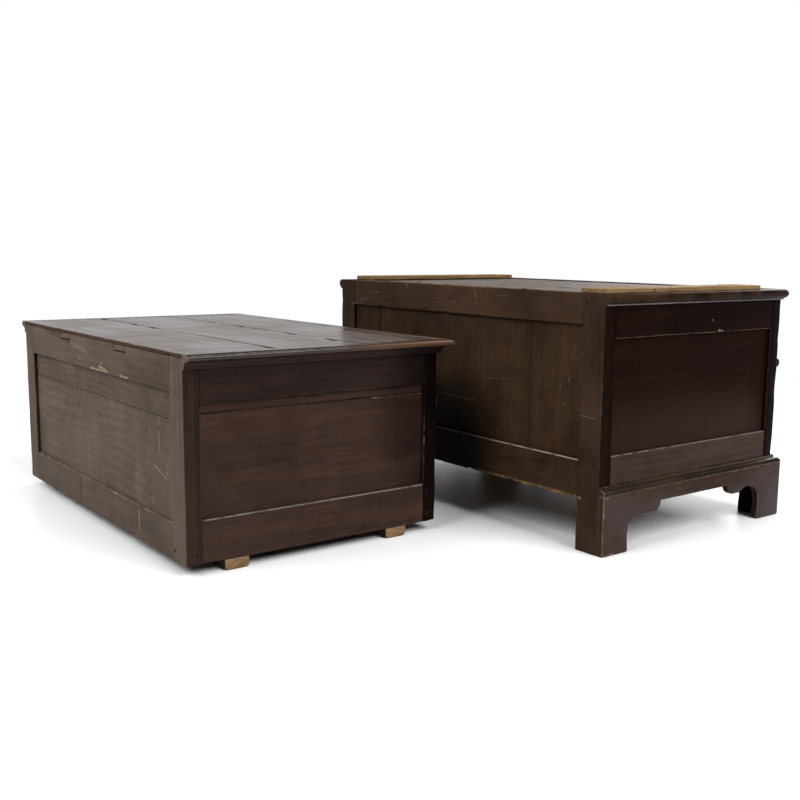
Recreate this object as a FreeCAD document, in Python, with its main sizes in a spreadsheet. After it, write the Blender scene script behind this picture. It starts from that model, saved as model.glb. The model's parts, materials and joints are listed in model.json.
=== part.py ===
import FreeCAD, Part
import math
import os
import Sketcher

# Oak chest of drawers made in two halves that stand apart on the floor, in millimetres, front towards -Y.
# Every length is held in the sheet below, and the shapes follow it through expressions.

doc = FreeCAD.newDocument("oak_chest_of_drawers")
sheet = doc.addObject("Spreadsheet::Sheet", "sizes")

cells = [
    ("carcass_width", 950, "Width of both halves over the posts"),
    ("carcass_depth", 600, "Depth of both halves over the posts"),
    ("standing_gap", 147, "Clear floor between the back of the lower half and the front of the upper half"),
    ("standing_shift", 349, "Sideways step of the upper half from the lower half"),
    ("post_width", 60, "Post seen from the front or the back"),
    ("post_thickness", 34, "Post seen from the side, and front and back rails"),
    ("side_rail_thickness", 24, "Rails of the side frames"),
    ("tongue_thickness", 10, "Tenons, grooves and panels"),
    ("panel_recess", 8, "Face of a frame to the face of its panel"),
    ("groove_depth", 8, "Panel grooves in posts and rails"),
    ("panel_play", 1, "Room for a panel to move in its grooves"),
    ("tenon_length", 22, "Tenons of the side, back and front rails"),
    ("tenon_shoulder", 8, "Edge of a side or back rail to the edge of its tenon"),
    ("front_shoulder", 4, "Edge of a front rail to the edge of its tenon"),
    ("board_gap", 0.6, "Open joint between neighbouring boards"),
    ("peg_radius", 4, "Joint pegs"),
    ("peg_clearance", 0.05, "Peg to the wall of its hole"),
    ("peg_depth", 22, "Peg below the face of the post"),
    ("peg_inset", 20, "Edge of a side or back rail to its pegs"),
    ("block_height", 22, "Loose blocks under the upper half"),
    ("block_width", 53, "Loose blocks, front to back"),
    ("block_spacing", 384, "Loose blocks, centre to centre"),
    ("block_round", 7, "Rounded lower edges of the loose blocks"),
    ("upper_height", 397, "Posts of the upper half"),
    ("upper_side_low_rail", 87, "Bottom side rails, upper half"),
    ("upper_side_high_rail", 87, "Top side rails, upper half"),
    ("upper_back_low_rail", 73, "Bottom back rail, upper half"),
    ("upper_back_high_rail", 67, "Top back rail, upper half"),
    ("upper_side_joint", 107, "Head of the posts to the joint of the side panel boards"),
    ("upper_back_joint", 124, "Head of the posts to the joint of the back boards"),
    ("upper_front_low_rail", 30, "Bottom front rail, upper half"),
    ("upper_long_opening", 226, "Opening of the upper long drawer"),
    ("divider_height", 24, "Rails between drawers"),
    ("upper_front_high_rail", 33, "Top front rail, upper half"),
    ("muntin_width", 50, "Upright between the two short drawers"),
    ("muntin_tenon", 12, "Tenons of that upright"),
    ("partition_thickness", 20, "Board behind that upright"),
    ("top_thickness", 9, "Top boards of the upper half"),
    ("batten_width", 62, "Battens under the top boards"),
    ("batten_thickness", 15, "Battens under the top boards"),
    ("batten_spacing", 336, "Battens, centre to centre"),
    ("batten_seat", 15, "Battens into the front rail"),
    ("top_moulding_reach", 28, "Top moulding beyond the posts"),
    ("top_moulding_height", 29, "Top moulding"),
    ("top_moulding_foot", 7, "Lower fillet of the top moulding, outwards"),
    ("top_moulding_base", 4, "Lower fillet of the top moulding, upwards"),
    ("top_moulding_cove", 11, "Cove of the top moulding"),
    ("top_moulding_nose", 5.5, "Nose of the top moulding"),
    ("top_moulding_step", 2, "Step down from the top boards to the nose"),
    ("lower_height", 538, "Posts of the lower half, down to the floor"),
    ("lower_rail_floor", 110, "Floor to the bottom rails of the lower half"),
    ("lower_side_low_rail", 96, "Bottom side rails, lower half"),
    ("lower_side_high_rail", 91, "Top side rails, lower half"),
    ("lower_back_low_rail", 83, "Bottom back rail, lower half"),
    ("lower_back_high_rail", 65, "Top back rail, lower half"),
    ("lower_right_board", 108, "Right back board, between post and joint"),
    ("lower_left_board", 155, "Left back board, between post and joint"),
    ("lower_board_gap", 3, "Open joint of the right back board"),
    ("lower_front_low_rail", 50, "Bottom front rail, lower half"),
    ("lower_deep_opening", 193, "Opening of the bottom drawer"),
    ("lower_front_high_rail", 33, "Top front rail, lower half"),
    ("lower_top_thickness", 10, "Top boards of the lower half"),
    ("lower_top_drop", 2, "Top boards below the edge of the frame"),
    ("lower_top_seat", 10, "Top boards into the side rails"),
    ("waist_reach", 12, "Waist moulding beyond the posts"),
    ("waist_height", 24, "Waist moulding"),
    ("waist_fillet", 3, "Fillet under the waist moulding, upwards"),
    ("waist_fillet_reach", 5, "Fillet under the waist moulding, outwards"),
    ("divider_moulding_radius", 10, "Half-round on the dividers"),
    ("bracket_height", 127, "Bracket boards"),
    ("bracket_thickness", 16, "Bracket boards"),
    ("apron_height", 96, "Floor to the straight lower edge of a bracket board"),
    ("foot_inner_height", 60, "Floor to the spring of the scallop"),
    ("foot_toe", 6, "Rounded toe of a foot, inwards and upwards"),
    ("foot_waist", 3, "Hollow in the inner edge of a foot"),
    ("foot_waist_height", 36, "Floor to that hollow"),
    ("scallop_radius", 46, "Scallop beside a foot"),
    ("lobe_low", 74, "Floor to the lobe beside the scallop"),
    ("lobe_radius", 22, "Lobe beside the scallop"),
    ("back_foot_width", 78, "Back foot of a side bracket"),
    ("back_scallop_width", 40, "Scallop of that foot"),
    ("back_lobe_width", 62, "Lobe of that foot"),
    ("front_foot_width", 84, "Feet at the front corners, from the mitre"),
    ("front_scallop_width", 72, "Scallop of those feet"),
    ("front_lobe_width", 46, "Lobe of those feet"),
    ("base_moulding_height", 18, "Base moulding on the bracket boards"),
    ("base_ovolo", 10, "Ovolo of the base moulding"),
    ("base_quirk", 2, "Flat under that ovolo"),
    ("base_fillet", 4, "Upper fillet of the base moulding, outwards"),
    ("strip_width", 72, "Pale strips lying on the lower half"),
    ("strip_thickness", 10, "Pale strips"),
    ("strip_length", 514, "Pale strips"),
    ("strip_setback", 3, "Back of the lower half to the left pale strip"),
    ("strip_stagger", 45, "Right pale strip further forward"),
    ("drawer_clearance", 1.5, "Drawer to its opening"),
    ("drawer_back_clearance", 16, "Back of a drawer to the back rails"),
    ("drawer_front_thickness", 22, "Drawer fronts"),
    ("drawer_rebate", 11, "Sides and bottom into the drawer front"),
    ("drawer_side_thickness", 20, "Drawer sides"),
    ("drawer_back_thickness", 12, "Drawer backs"),
    ("drawer_bottom_thickness", 9, "Drawer bottoms"),
    ("drawer_side_drop", 12, "Top of a drawer front to the top of its sides"),
    ("runner_rise", 58, "Foot of a long drawer opening to its runner"),
    ("short_runner_rise", 16, "Foot of a short drawer opening to its runner"),
    ("runner_height", 12, "Drawer runners"),
    ("runner_engagement", 9, "Runner into the groove of a drawer side"),
    ("runner_bearing", 22, "Runner onto the post"),
    ("runner_play", 0.3, "Runner to the walls of its groove"),
    ("trim_width", 16, "Applied mouldings on the drawer fronts"),
    ("trim_height", 7, "Applied mouldings, proud of the front"),
    ("trim_margin", 10, "Edge of a drawer front to its mouldings"),
    ("trim_lip", 2, "Lower edges of the applied mouldings"),
    ("trim_flat", 4, "Flat crest of the applied mouldings"),
    ("knob_length", 28, "Knob, proud of the front"),
    ("knob_radius", 18, "Rim of a knob"),
    ("knob_neck_radius", 8, "Neck of a knob"),
    ("knob_rim_height", 20, "Front to the rim of a knob"),
    ("knob_collar_radius", 12, "Collar of a knob"),
    ("knob_collar_height", 3, "Collar of a knob"),
    ("knob_spigot_radius", 6, "Spigot of a knob"),
    ("knob_spigot_length", 14, "Spigot of a knob"),
    ("knob_fit", 0.05, "Spigot to the wall of its hole"),
]


class Term:
    # An expression over the cells of the sheet, with its value at their present numbers.
    def __init__(self, text, value):
        self.text = text
        self.value = value

    def __neg__(self):
        return Term(f"(-{self.text})", -self.value)

    def __add__(self, other):
        other = term(other)
        return Term(f"({self.text} + {other.text})", self.value + other.value)

    def __sub__(self, other):
        other = term(other)
        return Term(f"({self.text} - {other.text})", self.value - other.value)

    def __mul__(self, other):
        other = term(other)
        return Term(f"({self.text} * {other.text})", self.value * other.value)

    def __truediv__(self, other):
        other = term(other)
        return Term(f"({self.text} / {other.text})", self.value / other.value)


def term(number):
    if isinstance(number, Term):
        return number
    return Term(str(number), number)


class Cells:
    pass


size = Cells()
for row, (alias, number, meaning) in enumerate(cells, start=1):
    sheet.set(f"A{row}", meaning)
    sheet.set(f"B{row}", str(number))
    sheet.setAlias(f"B{row}", alias)
    setattr(size, alias, Term(f"sizes.{alias}", number))
doc.recompute()

zero = term(0)
half_width = size.carcass_width / 2
half_depth = size.carcass_depth / 2
inner_width = half_width - size.post_width
inner_depth = half_depth - size.post_thickness
side_tongue_out = half_width - size.panel_recess
side_tongue_in = side_tongue_out - size.tongue_thickness
cross_tongue_out = half_depth - size.panel_recess
cross_tongue_in = cross_tongue_out - size.tongue_thickness

pieces = []
spots = {}


def bind_spot(item, spot):
    spots[item.Name] = spot
    for letter, value in zip("xyz", spot):
        item.setExpression(f"Placement.Base.{letter}", value.text)


def box(low, high):
    item = doc.addObject("Part::Box", "board")
    for name, start, end in zip(("Length", "Width", "Height"), low, high):
        item.setExpression(name, (end - start).text)
    bind_spot(item, low)
    return item


def cylinder(spot, axis, sign, radius, length):
    # Runs from the spot along the x or y axis, forwards or backwards.
    item = doc.addObject("Part::Cylinder", "round")
    item.setExpression("Radius", radius.text)
    item.setExpression("Height", length.text)
    turn = FreeCAD.Vector(0, sign, 0) if axis == "x" else FreeCAD.Vector(-sign, 0, 0)
    item.Placement = FreeCAD.Placement(FreeCAD.Vector(), FreeCAD.Rotation(turn, 90))
    bind_spot(item, spot)
    return item


def fuse(items):
    item = doc.addObject("Part::MultiFuse", "joined")
    item.Shapes = items
    item.Refine = True
    return item


def cut(base, tools):
    item = doc.addObject("Part::Cut", "shaped")
    item.Base = base
    item.Tool = tools[0] if len(tools) == 1 else fuse(tools)
    return item


def common(items):
    item = doc.addObject("Part::MultiCommon", "mitred")
    item.Shapes = items
    return item


def piece(label, half, items):
    whole = items[0]
    if len(items) > 1:
        whole = doc.addObject("Part::Compound", label)
        whole.Links = items
    start = spots.get(whole.Name, (zero, zero, zero))
    bind_spot(whole, (half["x"] + start[0], half["y"] + start[1], start[2]))
    whole.Label = label
    pieces.append(whole)


def span(side, near, far):
    return (near, far) if side > 0 else (-far, -near)


def draw(sketch, corners):
    # Closed outline. A corner with a radius and a turn is reached by an arc, any other by a straight line.
    count = len(corners)
    ends = []
    for index, corner in enumerate(corners):
        following = corners[(index + 1) % count]
        first = FreeCAD.Vector(corner[0].value, corner[1].value, 0)
        last = FreeCAD.Vector(following[0].value, following[1].value, 0)
        if len(following) == 2:
            sketch.addGeometry(Part.LineSegment(first, last))
            ends.append((1, 2))
            continue
        radius, turn = following[2].value, following[3]
        chord = last - first
        rise = math.sqrt(max(radius ** 2 - chord.Length ** 2 / 4, 0)) / chord.Length
        left = FreeCAD.Vector(-chord.y, chord.x, 0) * rise
        centre = (first + last) / 2 + (left if turn == "left" else -left)
        start, end = (first, last) if turn == "left" else (last, first)
        angles = [math.atan2(spot.y - centre.y, spot.x - centre.x) for spot in (start, end)]
        if angles[1] <= angles[0]:
            angles[1] += 2 * math.pi
        circle = Part.Circle(centre, FreeCAD.Vector(0, 0, 1), radius)
        sketch.addGeometry(Part.ArcOfCircle(circle, angles[0], angles[1]))
        ends.append((1, 2) if turn == "left" else (2, 1))
    for index, corner in enumerate(corners):
        before = (index - 1) % count
        sketch.addConstraint(Sketcher.Constraint("Coincident", before, ends[before][1], index, ends[index][0]))
        for kind, value in zip(("DistanceX", "DistanceY"), corner[:2]):
            rule = Sketcher.Constraint(kind, -1, 1, index, ends[index][0], value.value)
            sketch.setExpression(f"Constraints[{sketch.addConstraint(rule)}]", value.text)
        if len(corner) == 4:
            rule = Sketcher.Constraint("Radius", before, corner[2].value)
            sketch.setExpression(f"Constraints[{sketch.addConstraint(rule)}]", corner[2].text)


def extrude(corners, turn, spot, direction, length):
    sketch = doc.addObject("Sketcher::SketchObject", "outline")
    draw(sketch, corners)
    sketch.Placement = FreeCAD.Placement(FreeCAD.Vector(), turn)
    bind_spot(sketch, spot)
    item = doc.addObject("Part::Extrusion", "length")
    item.Base = sketch
    item.DirMode = "Custom"
    item.Dir = direction
    item.Solid = True
    item.setExpression("LengthFwd", length.text)
    return item


x_way = FreeCAD.Vector(1, 0, 0)
y_way = FreeCAD.Vector(0, 1, 0)
z_way = FreeCAD.Vector(0, 0, 1)
flat = FreeCAD.Rotation()
across = FreeCAD.Rotation(-y_way, z_way, -x_way, "ZXY")
upright = FreeCAD.Rotation(x_way, z_way, -y_way, "ZXY")


def mitre(item, length, reach, height, mitred_start, mitred_end):
    # Keeps what lies over a plan whose inner edge has the given length and whose mitred ends widen outwards.
    start = -reach if mitred_start else zero
    end = length + reach if mitred_end else length
    plan = [(zero, zero), (start, -reach), (end, -reach), (length, zero)]
    return common([item, extrude(plan, flat, (zero, zero, -reach), z_way, height + reach * 2)])


def moulding(profile, length, reach, height, mitred_start, mitred_end):
    # Lies along x from the origin and grows outwards along -y. The profile is drawn as outwards, upwards.
    item = extrude(profile, across, (-reach, zero, zero), x_way, length + reach * 2)
    return mitre(item, length, reach, height, mitred_start, mitred_end)


def turned(item, turn, spot):
    item.Placement = FreeCAD.Placement(FreeCAD.Vector(), turn)
    bind_spot(item, spot)
    return item


def corner_mouldings(profile, reach, height, foot):
    # Left end, front and right end of a moulding that runs round three sides of a half.
    quarter = FreeCAD.Rotation(z_way, 90)
    left = moulding(profile, size.carcass_depth, reach, height, False, True)
    front = moulding(profile, size.carcass_width, reach, height, True, True)
    right = moulding(profile, size.carcass_depth, reach, height, True, False)
    return [
        turned(left, quarter.inverted(), (-half_width, half_depth, foot)),
        turned(front, flat, (-half_width, -half_depth, foot)),
        turned(right, quarter, (half_width, -half_depth, foot)),
    ]


def peg_and_hole(spot, axis, sign):
    # The spot is on the face of the post, and the sign points into the wood. The peg ends flush with the face.
    peg = cylinder(spot, axis, sign, size.peg_radius, size.peg_depth)
    hole = cylinder(spot, axis, sign, size.peg_radius + size.peg_clearance, size.peg_depth)
    return peg, hole


def frame(half):
    # Posts, rails, panels and pegs of one half, joined with tenons and grooves.
    name = half["name"]
    cuts = {(side, end): [] for side in (-1, 1) for end in (-1, 1)}
    pegs = []
    side_rails = []
    panels = []
    peg_across = inner_width + size.tenon_length / 2
    peg_along = inner_depth + size.tenon_length / 2

    for side in (-1, 1):
        tongue = span(side, side_tongue_in, side_tongue_out)
        faces = span(side, half_width - size.side_rail_thickness, half_width)
        for level, (low, high) in enumerate(half["side_rails"]):
            body = [box((faces[0], -inner_depth, low), (faces[1], inner_depth, high))]
            edge = high - size.groove_depth if level == 0 else low
            groove = box((tongue[0], -inner_depth, edge), (tongue[1], inner_depth, edge + size.groove_depth))
            tools = [groove]
            for end in (-1, 1):
                reach = span(end, inner_depth, inner_depth + size.tenon_length)
                tenon_low = (tongue[0], reach[0], low + size.tenon_shoulder)
                tenon_high = (tongue[1], reach[1], high - size.tenon_shoulder)
                body.append(box(tenon_low, tenon_high))
                cuts[side, end].append(box(tenon_low, tenon_high))
                for peg_level in (low + size.peg_inset, high - size.peg_inset):
                    spot = (half_width * side, peg_along * end, peg_level)
                    peg, hole = peg_and_hole(spot, "x", -side)
                    pegs.append(peg)
                    tools.append(hole)
                    cuts[side, end].append(hole)
            if level == 1 and half["top_seat"]:
                seat = half["top_seat"]
                lip = span(side, half_width - size.side_rail_thickness, seat["reach"])
                tools.append(box((lip[0], -inner_depth, seat["low"]), (lip[1], inner_depth, high)))
            side_rails.append(cut(fuse(body), tools))
        low = half["side_rails"][0][1] - size.groove_depth
        high = half["side_rails"][1][0] + size.groove_depth
        for end in (-1, 1):
            reach = span(end, inner_depth, inner_depth + size.groove_depth)
            cuts[side, end].append(box((tongue[0], reach[0], low), (tongue[1], reach[1], high)))
        reach = inner_depth + size.groove_depth - size.panel_play
        edges = [low] + half["side_joints"] + [high - size.panel_play]
        for below, above in zip(edges[:-1], edges[1:]):
            top = above if above is edges[-1] else above - size.board_gap
            panels.append(box((tongue[0], -reach, below), (tongue[1], reach, top)))

    cross_rails = {}
    for end, levels in ((1, half["back_rails"]), (-1, half["front_rails"])):
        tongue = span(end, cross_tongue_in, cross_tongue_out)
        faces = span(end, inner_depth, half_depth)
        shoulder = size.tenon_shoulder if end > 0 else size.front_shoulder
        for level, (low, high) in enumerate(levels):
            body = [box((-inner_width, faces[0], low), (inner_width, faces[1], high))]
            peg_levels = [(low + high) / 2]
            if end > 0:
                peg_levels = [low + size.peg_inset, high - size.peg_inset]
            tools = list(half["rail_cuts"].get((end, level), []))
            if end > 0:
                edge = high - size.groove_depth if level == 0 else low
                top = edge + size.groove_depth
                tools.append(box((-inner_width, tongue[0], edge), (inner_width, tongue[1], top)))
            for side in (-1, 1):
                reach = span(side, inner_width, inner_width + size.tenon_length)
                tenon_low = (reach[0], tongue[0], low + shoulder)
                tenon_high = (reach[1], tongue[1], high - shoulder)
                body.append(box(tenon_low, tenon_high))
                cuts[side, end].append(box(tenon_low, tenon_high))
                for peg_level in peg_levels:
                    spot = (peg_across * side, half_depth * end, peg_level)
                    peg, hole = peg_and_hole(spot, "y", -end)
                    pegs.append(peg)
                    tools.append(hole)
                    cuts[side, end].append(hole)
            cross_rails[end, level] = cut(fuse(body), tools)

    low = half["back_rails"][0][1] - size.groove_depth
    high = half["back_rails"][1][0] + size.groove_depth
    for side in (-1, 1):
        reach = span(side, inner_width, inner_width + size.groove_depth)
        cuts[side, 1].append(box((reach[0], cross_tongue_in, low), (reach[1], cross_tongue_out, high)))

    posts = {}
    for side, end in cuts:
        across_faces = span(side, inner_width, half_width)
        along_faces = span(end, inner_depth, half_depth)
        body = box((across_faces[0], along_faces[0], half["foot"]), (across_faces[1], along_faces[1], half["head"]))
        posts[side, end] = cut(body, cuts[side, end])

    piece(f"{name}_front_posts", half, [posts[-1, -1], posts[1, -1]])
    piece(f"{name}_back_posts", half, [posts[-1, 1], posts[1, 1]])
    piece(f"{name}_side_rails", half, side_rails)
    piece(f"{name}_side_panels", half, panels)
    piece(f"{name}_back_bottom_rail", half, [cross_rails[1, 0]])
    piece(f"{name}_back_top_rail", half, [cross_rails[1, 1]])
    piece(f"{name}_front_rails", half, [cross_rails[-1, level] for level in range(len(half["front_rails"]))])
    piece(f"{name}_pegs", half, pegs)


def knob(spot):
    body = doc.addObject("PartDesign::Body", "knob")
    plane = [part for part in body.Origin.OriginFeatures if part.Role == "XZ_Plane"][0]
    sketch = body.newObject("Sketcher::SketchObject", "knob_outline")
    sketch.AttachmentSupport = [(plane, "")]
    sketch.MapMode = "FlatFace"
    under = size.knob_radius - size.knob_neck_radius
    rim = size.knob_rim_height
    crown = size.knob_length - rim
    dome = (size.knob_radius * size.knob_radius + crown * crown) / (crown * 2)
    draw(sketch, [
        (zero, -size.knob_spigot_length),
        (size.knob_spigot_radius, -size.knob_spigot_length),
        (size.knob_spigot_radius, zero),
        (size.knob_collar_radius, zero),
        (size.knob_collar_radius, size.knob_collar_height),
        (size.knob_neck_radius, size.knob_collar_height),
        (size.knob_neck_radius, rim - under),
        (size.knob_radius, rim, under, "left"),
        (zero, size.knob_length, dome, "left"),
    ])
    turning = body.newObject("PartDesign::Revolution", "knob_turning")
    turning.Profile = sketch
    turning.ReferenceAxis = (sketch, ["V_Axis"])
    turning.Angle = 360
    return turned(body, FreeCAD.Rotation(x_way, 90), spot)


def trim_frame(left, right, low, high):
    # Four mitred mouldings round a panel on a drawer front. The sides given are the outer ones.
    lip = size.trim_lip
    flank = size.trim_height - lip
    crest = size.trim_width - flank
    profile = [
        (zero, zero),
        (size.trim_width, zero),
        (size.trim_width, lip),
        (crest, size.trim_height, flank, "left"),
        (crest - size.trim_flat, size.trim_height),
        (zero, lip),
    ]
    width = right - left - size.trim_width * 2
    height = high - low - size.trim_width * 2
    left = left + size.trim_width
    right = right - size.trim_width
    low = low + size.trim_width
    high = high - size.trim_width
    strips = []
    for angle, length, across_spot, up_spot in (
        (0, width, left, low), (90, height, right, low), (180, width, right, high), (270, height, left, high),
    ):
        strip = moulding(profile, length, size.trim_width, size.trim_height, True, True)
        turn = FreeCAD.Rotation(x_way, 90).multiply(FreeCAD.Rotation(z_way, angle))
        strips.append(turned(strip, turn, (across_spot, -half_depth, up_spot)))
    return strips


def drawer(name, half, opening, panel_count, rise):
    # The opening gives left, right, foot and head. The sides hang on runners in their grooves.
    left, right, foot, head = opening
    left = left + size.drawer_clearance
    right = right - size.drawer_clearance
    low = foot + size.drawer_clearance
    high = head - size.drawer_clearance
    face = -half_depth
    inside = face + size.drawer_front_thickness
    rebate = inside - size.drawer_rebate
    back = inner_depth - size.drawer_back_clearance
    floor = low + size.drawer_bottom_thickness
    side_top = high - size.drawer_side_drop
    groove_low = foot + rise - size.runner_play
    groove_high = groove_low + size.runner_height + size.runner_play * 2
    groove_depth = size.runner_engagement + size.runner_play

    inner_left = left + size.drawer_side_thickness
    inner_right = right - size.drawer_side_thickness
    tools = [
        box((left, rebate, low), (inner_left, inside, side_top)),
        box((inner_right, rebate, low), (right, inside, side_top)),
        box((left, rebate, low), (right, inside, floor)),
    ]
    trims = []
    knobs = []
    panel_width = (right - left - size.trim_margin * (panel_count + 1)) / panel_count
    for index in range(panel_count):
        start = left + size.trim_margin + (panel_width + size.trim_margin) * index
        trims += trim_frame(start, start + panel_width, low + size.trim_margin, high - size.trim_margin)
        middle = start + panel_width / 2
        height = (low + high) / 2
        knobs.append(knob((middle, face, height)))
        hole_radius = size.knob_spigot_radius + size.knob_fit
        tools.append(cylinder((middle, face, height), "y", 1, hole_radius, size.knob_spigot_length))
    front = cut(box((left, face, low), (right, inside, high)), tools)

    sides = []
    for start, end, groove_start, groove_end in (
        (left, inner_left, left, left + groove_depth),
        (inner_right, right, right - groove_depth, right),
    ):
        plain = box((start, rebate, floor), (end, back, side_top))
        groove = box((groove_start, inside, groove_low), (groove_end, back, groove_high))
        sides.append(cut(plain, [groove]))
    back_low = (inner_left, back - size.drawer_back_thickness, floor)

    piece(f"{name}_front", half, [front] + trims)
    piece(f"{name}_sides", half, sides)
    piece(f"{name}_back", half, [box(back_low, (inner_right, back, side_top))])
    piece(f"{name}_bottom", half, [box((left, rebate, low), (right, back, floor))])
    piece(f"{name}_knobs", half, knobs)


def runner(side, opening_edge, foot, anchor, rise):
    # A strip beside a drawer opening, from its anchor in the frame into the groove of the drawer side.
    tip = opening_edge - (size.drawer_clearance + size.runner_engagement) * side
    low, high = (tip, anchor) if side > 0 else (anchor, tip)
    start = foot + rise
    return box((low, -inner_depth, start), (high, inner_depth, start + size.runner_height))


def half_round(foot):
    radius = size.divider_moulding_radius
    profile = [(zero, zero), (radius, radius, radius, "left"), (zero, radius * 2, radius, "left")]
    middle = foot + size.divider_height / 2 - radius
    return extrude(profile, across, (-half_width, -half_depth, middle), x_way, size.carcass_width)


def bracket_outline(length, start_foot, end_foot):
    # Elevation of a bracket board. Each foot gives its width, its scallop and its lobe.
    def rise(foot, scallop):
        return [
            (foot - size.foot_toe, zero),
            (foot, size.foot_toe, size.foot_toe, "left"),
            (foot - size.foot_waist, size.foot_waist_height),
            (foot, size.foot_inner_height),
            (foot + scallop, size.lobe_low, size.scallop_radius, "right"),
        ]

    foot, scallop, lobe = start_foot
    corners = [(zero, zero)] + rise(foot, scallop)
    corners.append((foot + scallop + lobe - size.lobe_radius, size.lobe_low))
    corners.append((foot + scallop + lobe, size.apron_height, size.lobe_radius, "left"))
    foot, scallop, lobe = end_foot
    corners.append((length - foot - scallop - lobe, size.apron_height))
    corners.append((length - foot - scallop - lobe + size.lobe_radius, size.lobe_low, size.lobe_radius, "left"))
    mirrored = rise(foot, scallop)
    corners.append((length - mirrored[4][0], mirrored[4][1]))
    corners.append((length - mirrored[3][0], mirrored[3][1], size.scallop_radius, "right"))
    corners.append((length - mirrored[2][0], mirrored[2][1]))
    corners.append((length - mirrored[1][0], mirrored[1][1]))
    corners.append((length - mirrored[0][0], mirrored[0][1], size.foot_toe, "left"))
    corners += [(length, zero), (length, size.bracket_height), (zero, size.bracket_height)]
    return corners


def bracket(length, start_foot, end_foot, mitred_start, mitred_end):
    reach = size.bracket_thickness
    start = -reach if mitred_start else zero
    whole = length
    for mitred in (mitred_start, mitred_end):
        if mitred:
            whole = whole + reach
    corners = bracket_outline(whole, start_foot, end_foot)
    item = extrude(corners, upright, (start, zero, zero), -y_way, reach)
    return mitre(item, length, reach, size.bracket_height, mitred_start, mitred_end)


# Both halves are placed so that the whole stand is centred on the origin.
lower = {
    "name": "lower",
    "x": -(size.standing_shift + size.top_moulding_reach - size.bracket_thickness) / 2,
    "y": -(size.carcass_depth + size.standing_gap - size.knob_length) / 2,
}
upper = {
    "name": "upper",
    "x": lower["x"] + size.standing_shift,
    "y": lower["y"] + size.carcass_depth + size.standing_gap,
}

# Upper half
foot = size.block_height
head = foot + size.upper_height
long_low = foot + size.upper_front_low_rail
long_high = long_low + size.upper_long_opening
short_low = long_high + size.divider_height
short_high = head - size.upper_front_high_rail
muntin_half = size.muntin_width / 2
partition_half = size.partition_thickness / 2
batten_low = head - size.batten_thickness
batten_edges = []
for side in (-1, 1):
    middle = size.batten_spacing * side / 2
    batten_edges.append((middle - size.batten_width / 2, middle + size.batten_width / 2))
muntin_tenon_edge = muntin_half - size.tenon_shoulder
muntin_low = (-muntin_tenon_edge, -cross_tongue_out, short_low - size.muntin_tenon)
muntin_high = (muntin_tenon_edge, -cross_tongue_in, short_high + size.muntin_tenon)

upper["foot"] = foot
upper["head"] = head
upper["side_rails"] = [(foot, foot + size.upper_side_low_rail), (head - size.upper_side_high_rail, head)]
upper["back_rails"] = [(foot, foot + size.upper_back_low_rail), (head - size.upper_back_high_rail, head)]
upper["front_rails"] = [(foot, long_low), (long_high, short_low), (short_high, head)]
upper["side_joints"] = [head - size.upper_side_joint]
upper["top_seat"] = None
front_notches = [
    box((low, -inner_depth - size.batten_seat, batten_low), (high, -inner_depth, head))
    for low, high in batten_edges
]
back_notches = [box((low, inner_depth, batten_low), (high, half_depth, head)) for low, high in batten_edges]
upper["rail_cuts"] = {
    (1, 1): back_notches,
    (-1, 1): [box(muntin_low, muntin_high)],
    (-1, 2): front_notches + [box(muntin_low, muntin_high)],
}
frame(upper)

back_reach = inner_width + size.groove_depth - size.panel_play
back_edges = [
    upper["back_rails"][0][1] - size.groove_depth,
    head - size.upper_back_joint,
    upper["back_rails"][1][0] + size.groove_depth - size.panel_play,
]
back_boards = []
for low, high in zip(back_edges[:-1], back_edges[1:]):
    top = high if high is back_edges[-1] else high - size.board_gap
    back_boards.append(box((-back_reach, cross_tongue_in, low), (back_reach, cross_tongue_out, top)))
piece("upper_back_boards", upper, back_boards)

muntin_body = box((-muntin_half, -half_depth, short_low), (muntin_half, -inner_depth, short_high))
piece("upper_muntin", upper, [fuse([muntin_body, box(muntin_low, muntin_high)])])
piece("upper_partition", upper, [
    box((-partition_half, -inner_depth, short_low), (partition_half, inner_depth, head)),
])

top_count = 3
top_boards = []
board_width = size.carcass_depth / top_count
for index in range(top_count):
    start = -half_depth + board_width * index
    end = start + board_width if index == top_count - 1 else start + board_width - size.board_gap
    top_boards.append(box((-half_width, start, head), (half_width, end, head + size.top_thickness)))
piece("upper_top_boards", upper, top_boards)
piece("upper_top_battens", upper, [
    box((low, -inner_depth - size.batten_seat, batten_low), (high, half_depth, head))
    for low, high in batten_edges
])

nose_start = size.top_moulding_reach - size.top_moulding_nose
nose_middle = size.top_moulding_height - size.top_moulding_step - size.top_moulding_nose
cove_top = size.top_moulding_base + size.top_moulding_cove
top_profile = [
    (zero, zero),
    (size.top_moulding_foot, zero),
    (size.top_moulding_foot, size.top_moulding_base),
    (size.top_moulding_foot + size.top_moulding_cove, cove_top, size.top_moulding_cove, "right"),
    (nose_start, nose_middle - size.top_moulding_nose),
    (size.top_moulding_reach, nose_middle, size.top_moulding_nose, "left"),
    (nose_start, nose_middle + size.top_moulding_nose, size.top_moulding_nose, "left"),
    (nose_start - size.top_moulding_step, nose_middle + size.top_moulding_nose),
    (nose_start - size.top_moulding_step, size.top_moulding_height),
    (zero, size.top_moulding_height),
]
moulding_foot = head + size.top_thickness - size.top_moulding_height
piece("upper_top_moulding", upper, corner_mouldings(
    top_profile, size.top_moulding_reach, size.top_moulding_height, moulding_foot))
piece("upper_divider_moulding", upper, [half_round(long_high)])

upper_runners = []
for side in (-1, 1):
    post_anchor = (inner_width + size.runner_bearing) * side
    upper_runners += [
        runner(side, inner_width * side, long_low, post_anchor, size.runner_rise),
        runner(side, inner_width * side, short_low, post_anchor, size.short_runner_rise),
        runner(-side, muntin_half * side, short_low, partition_half * side, size.short_runner_rise),
    ]
piece("upper_drawer_runners", upper, upper_runners)

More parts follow.
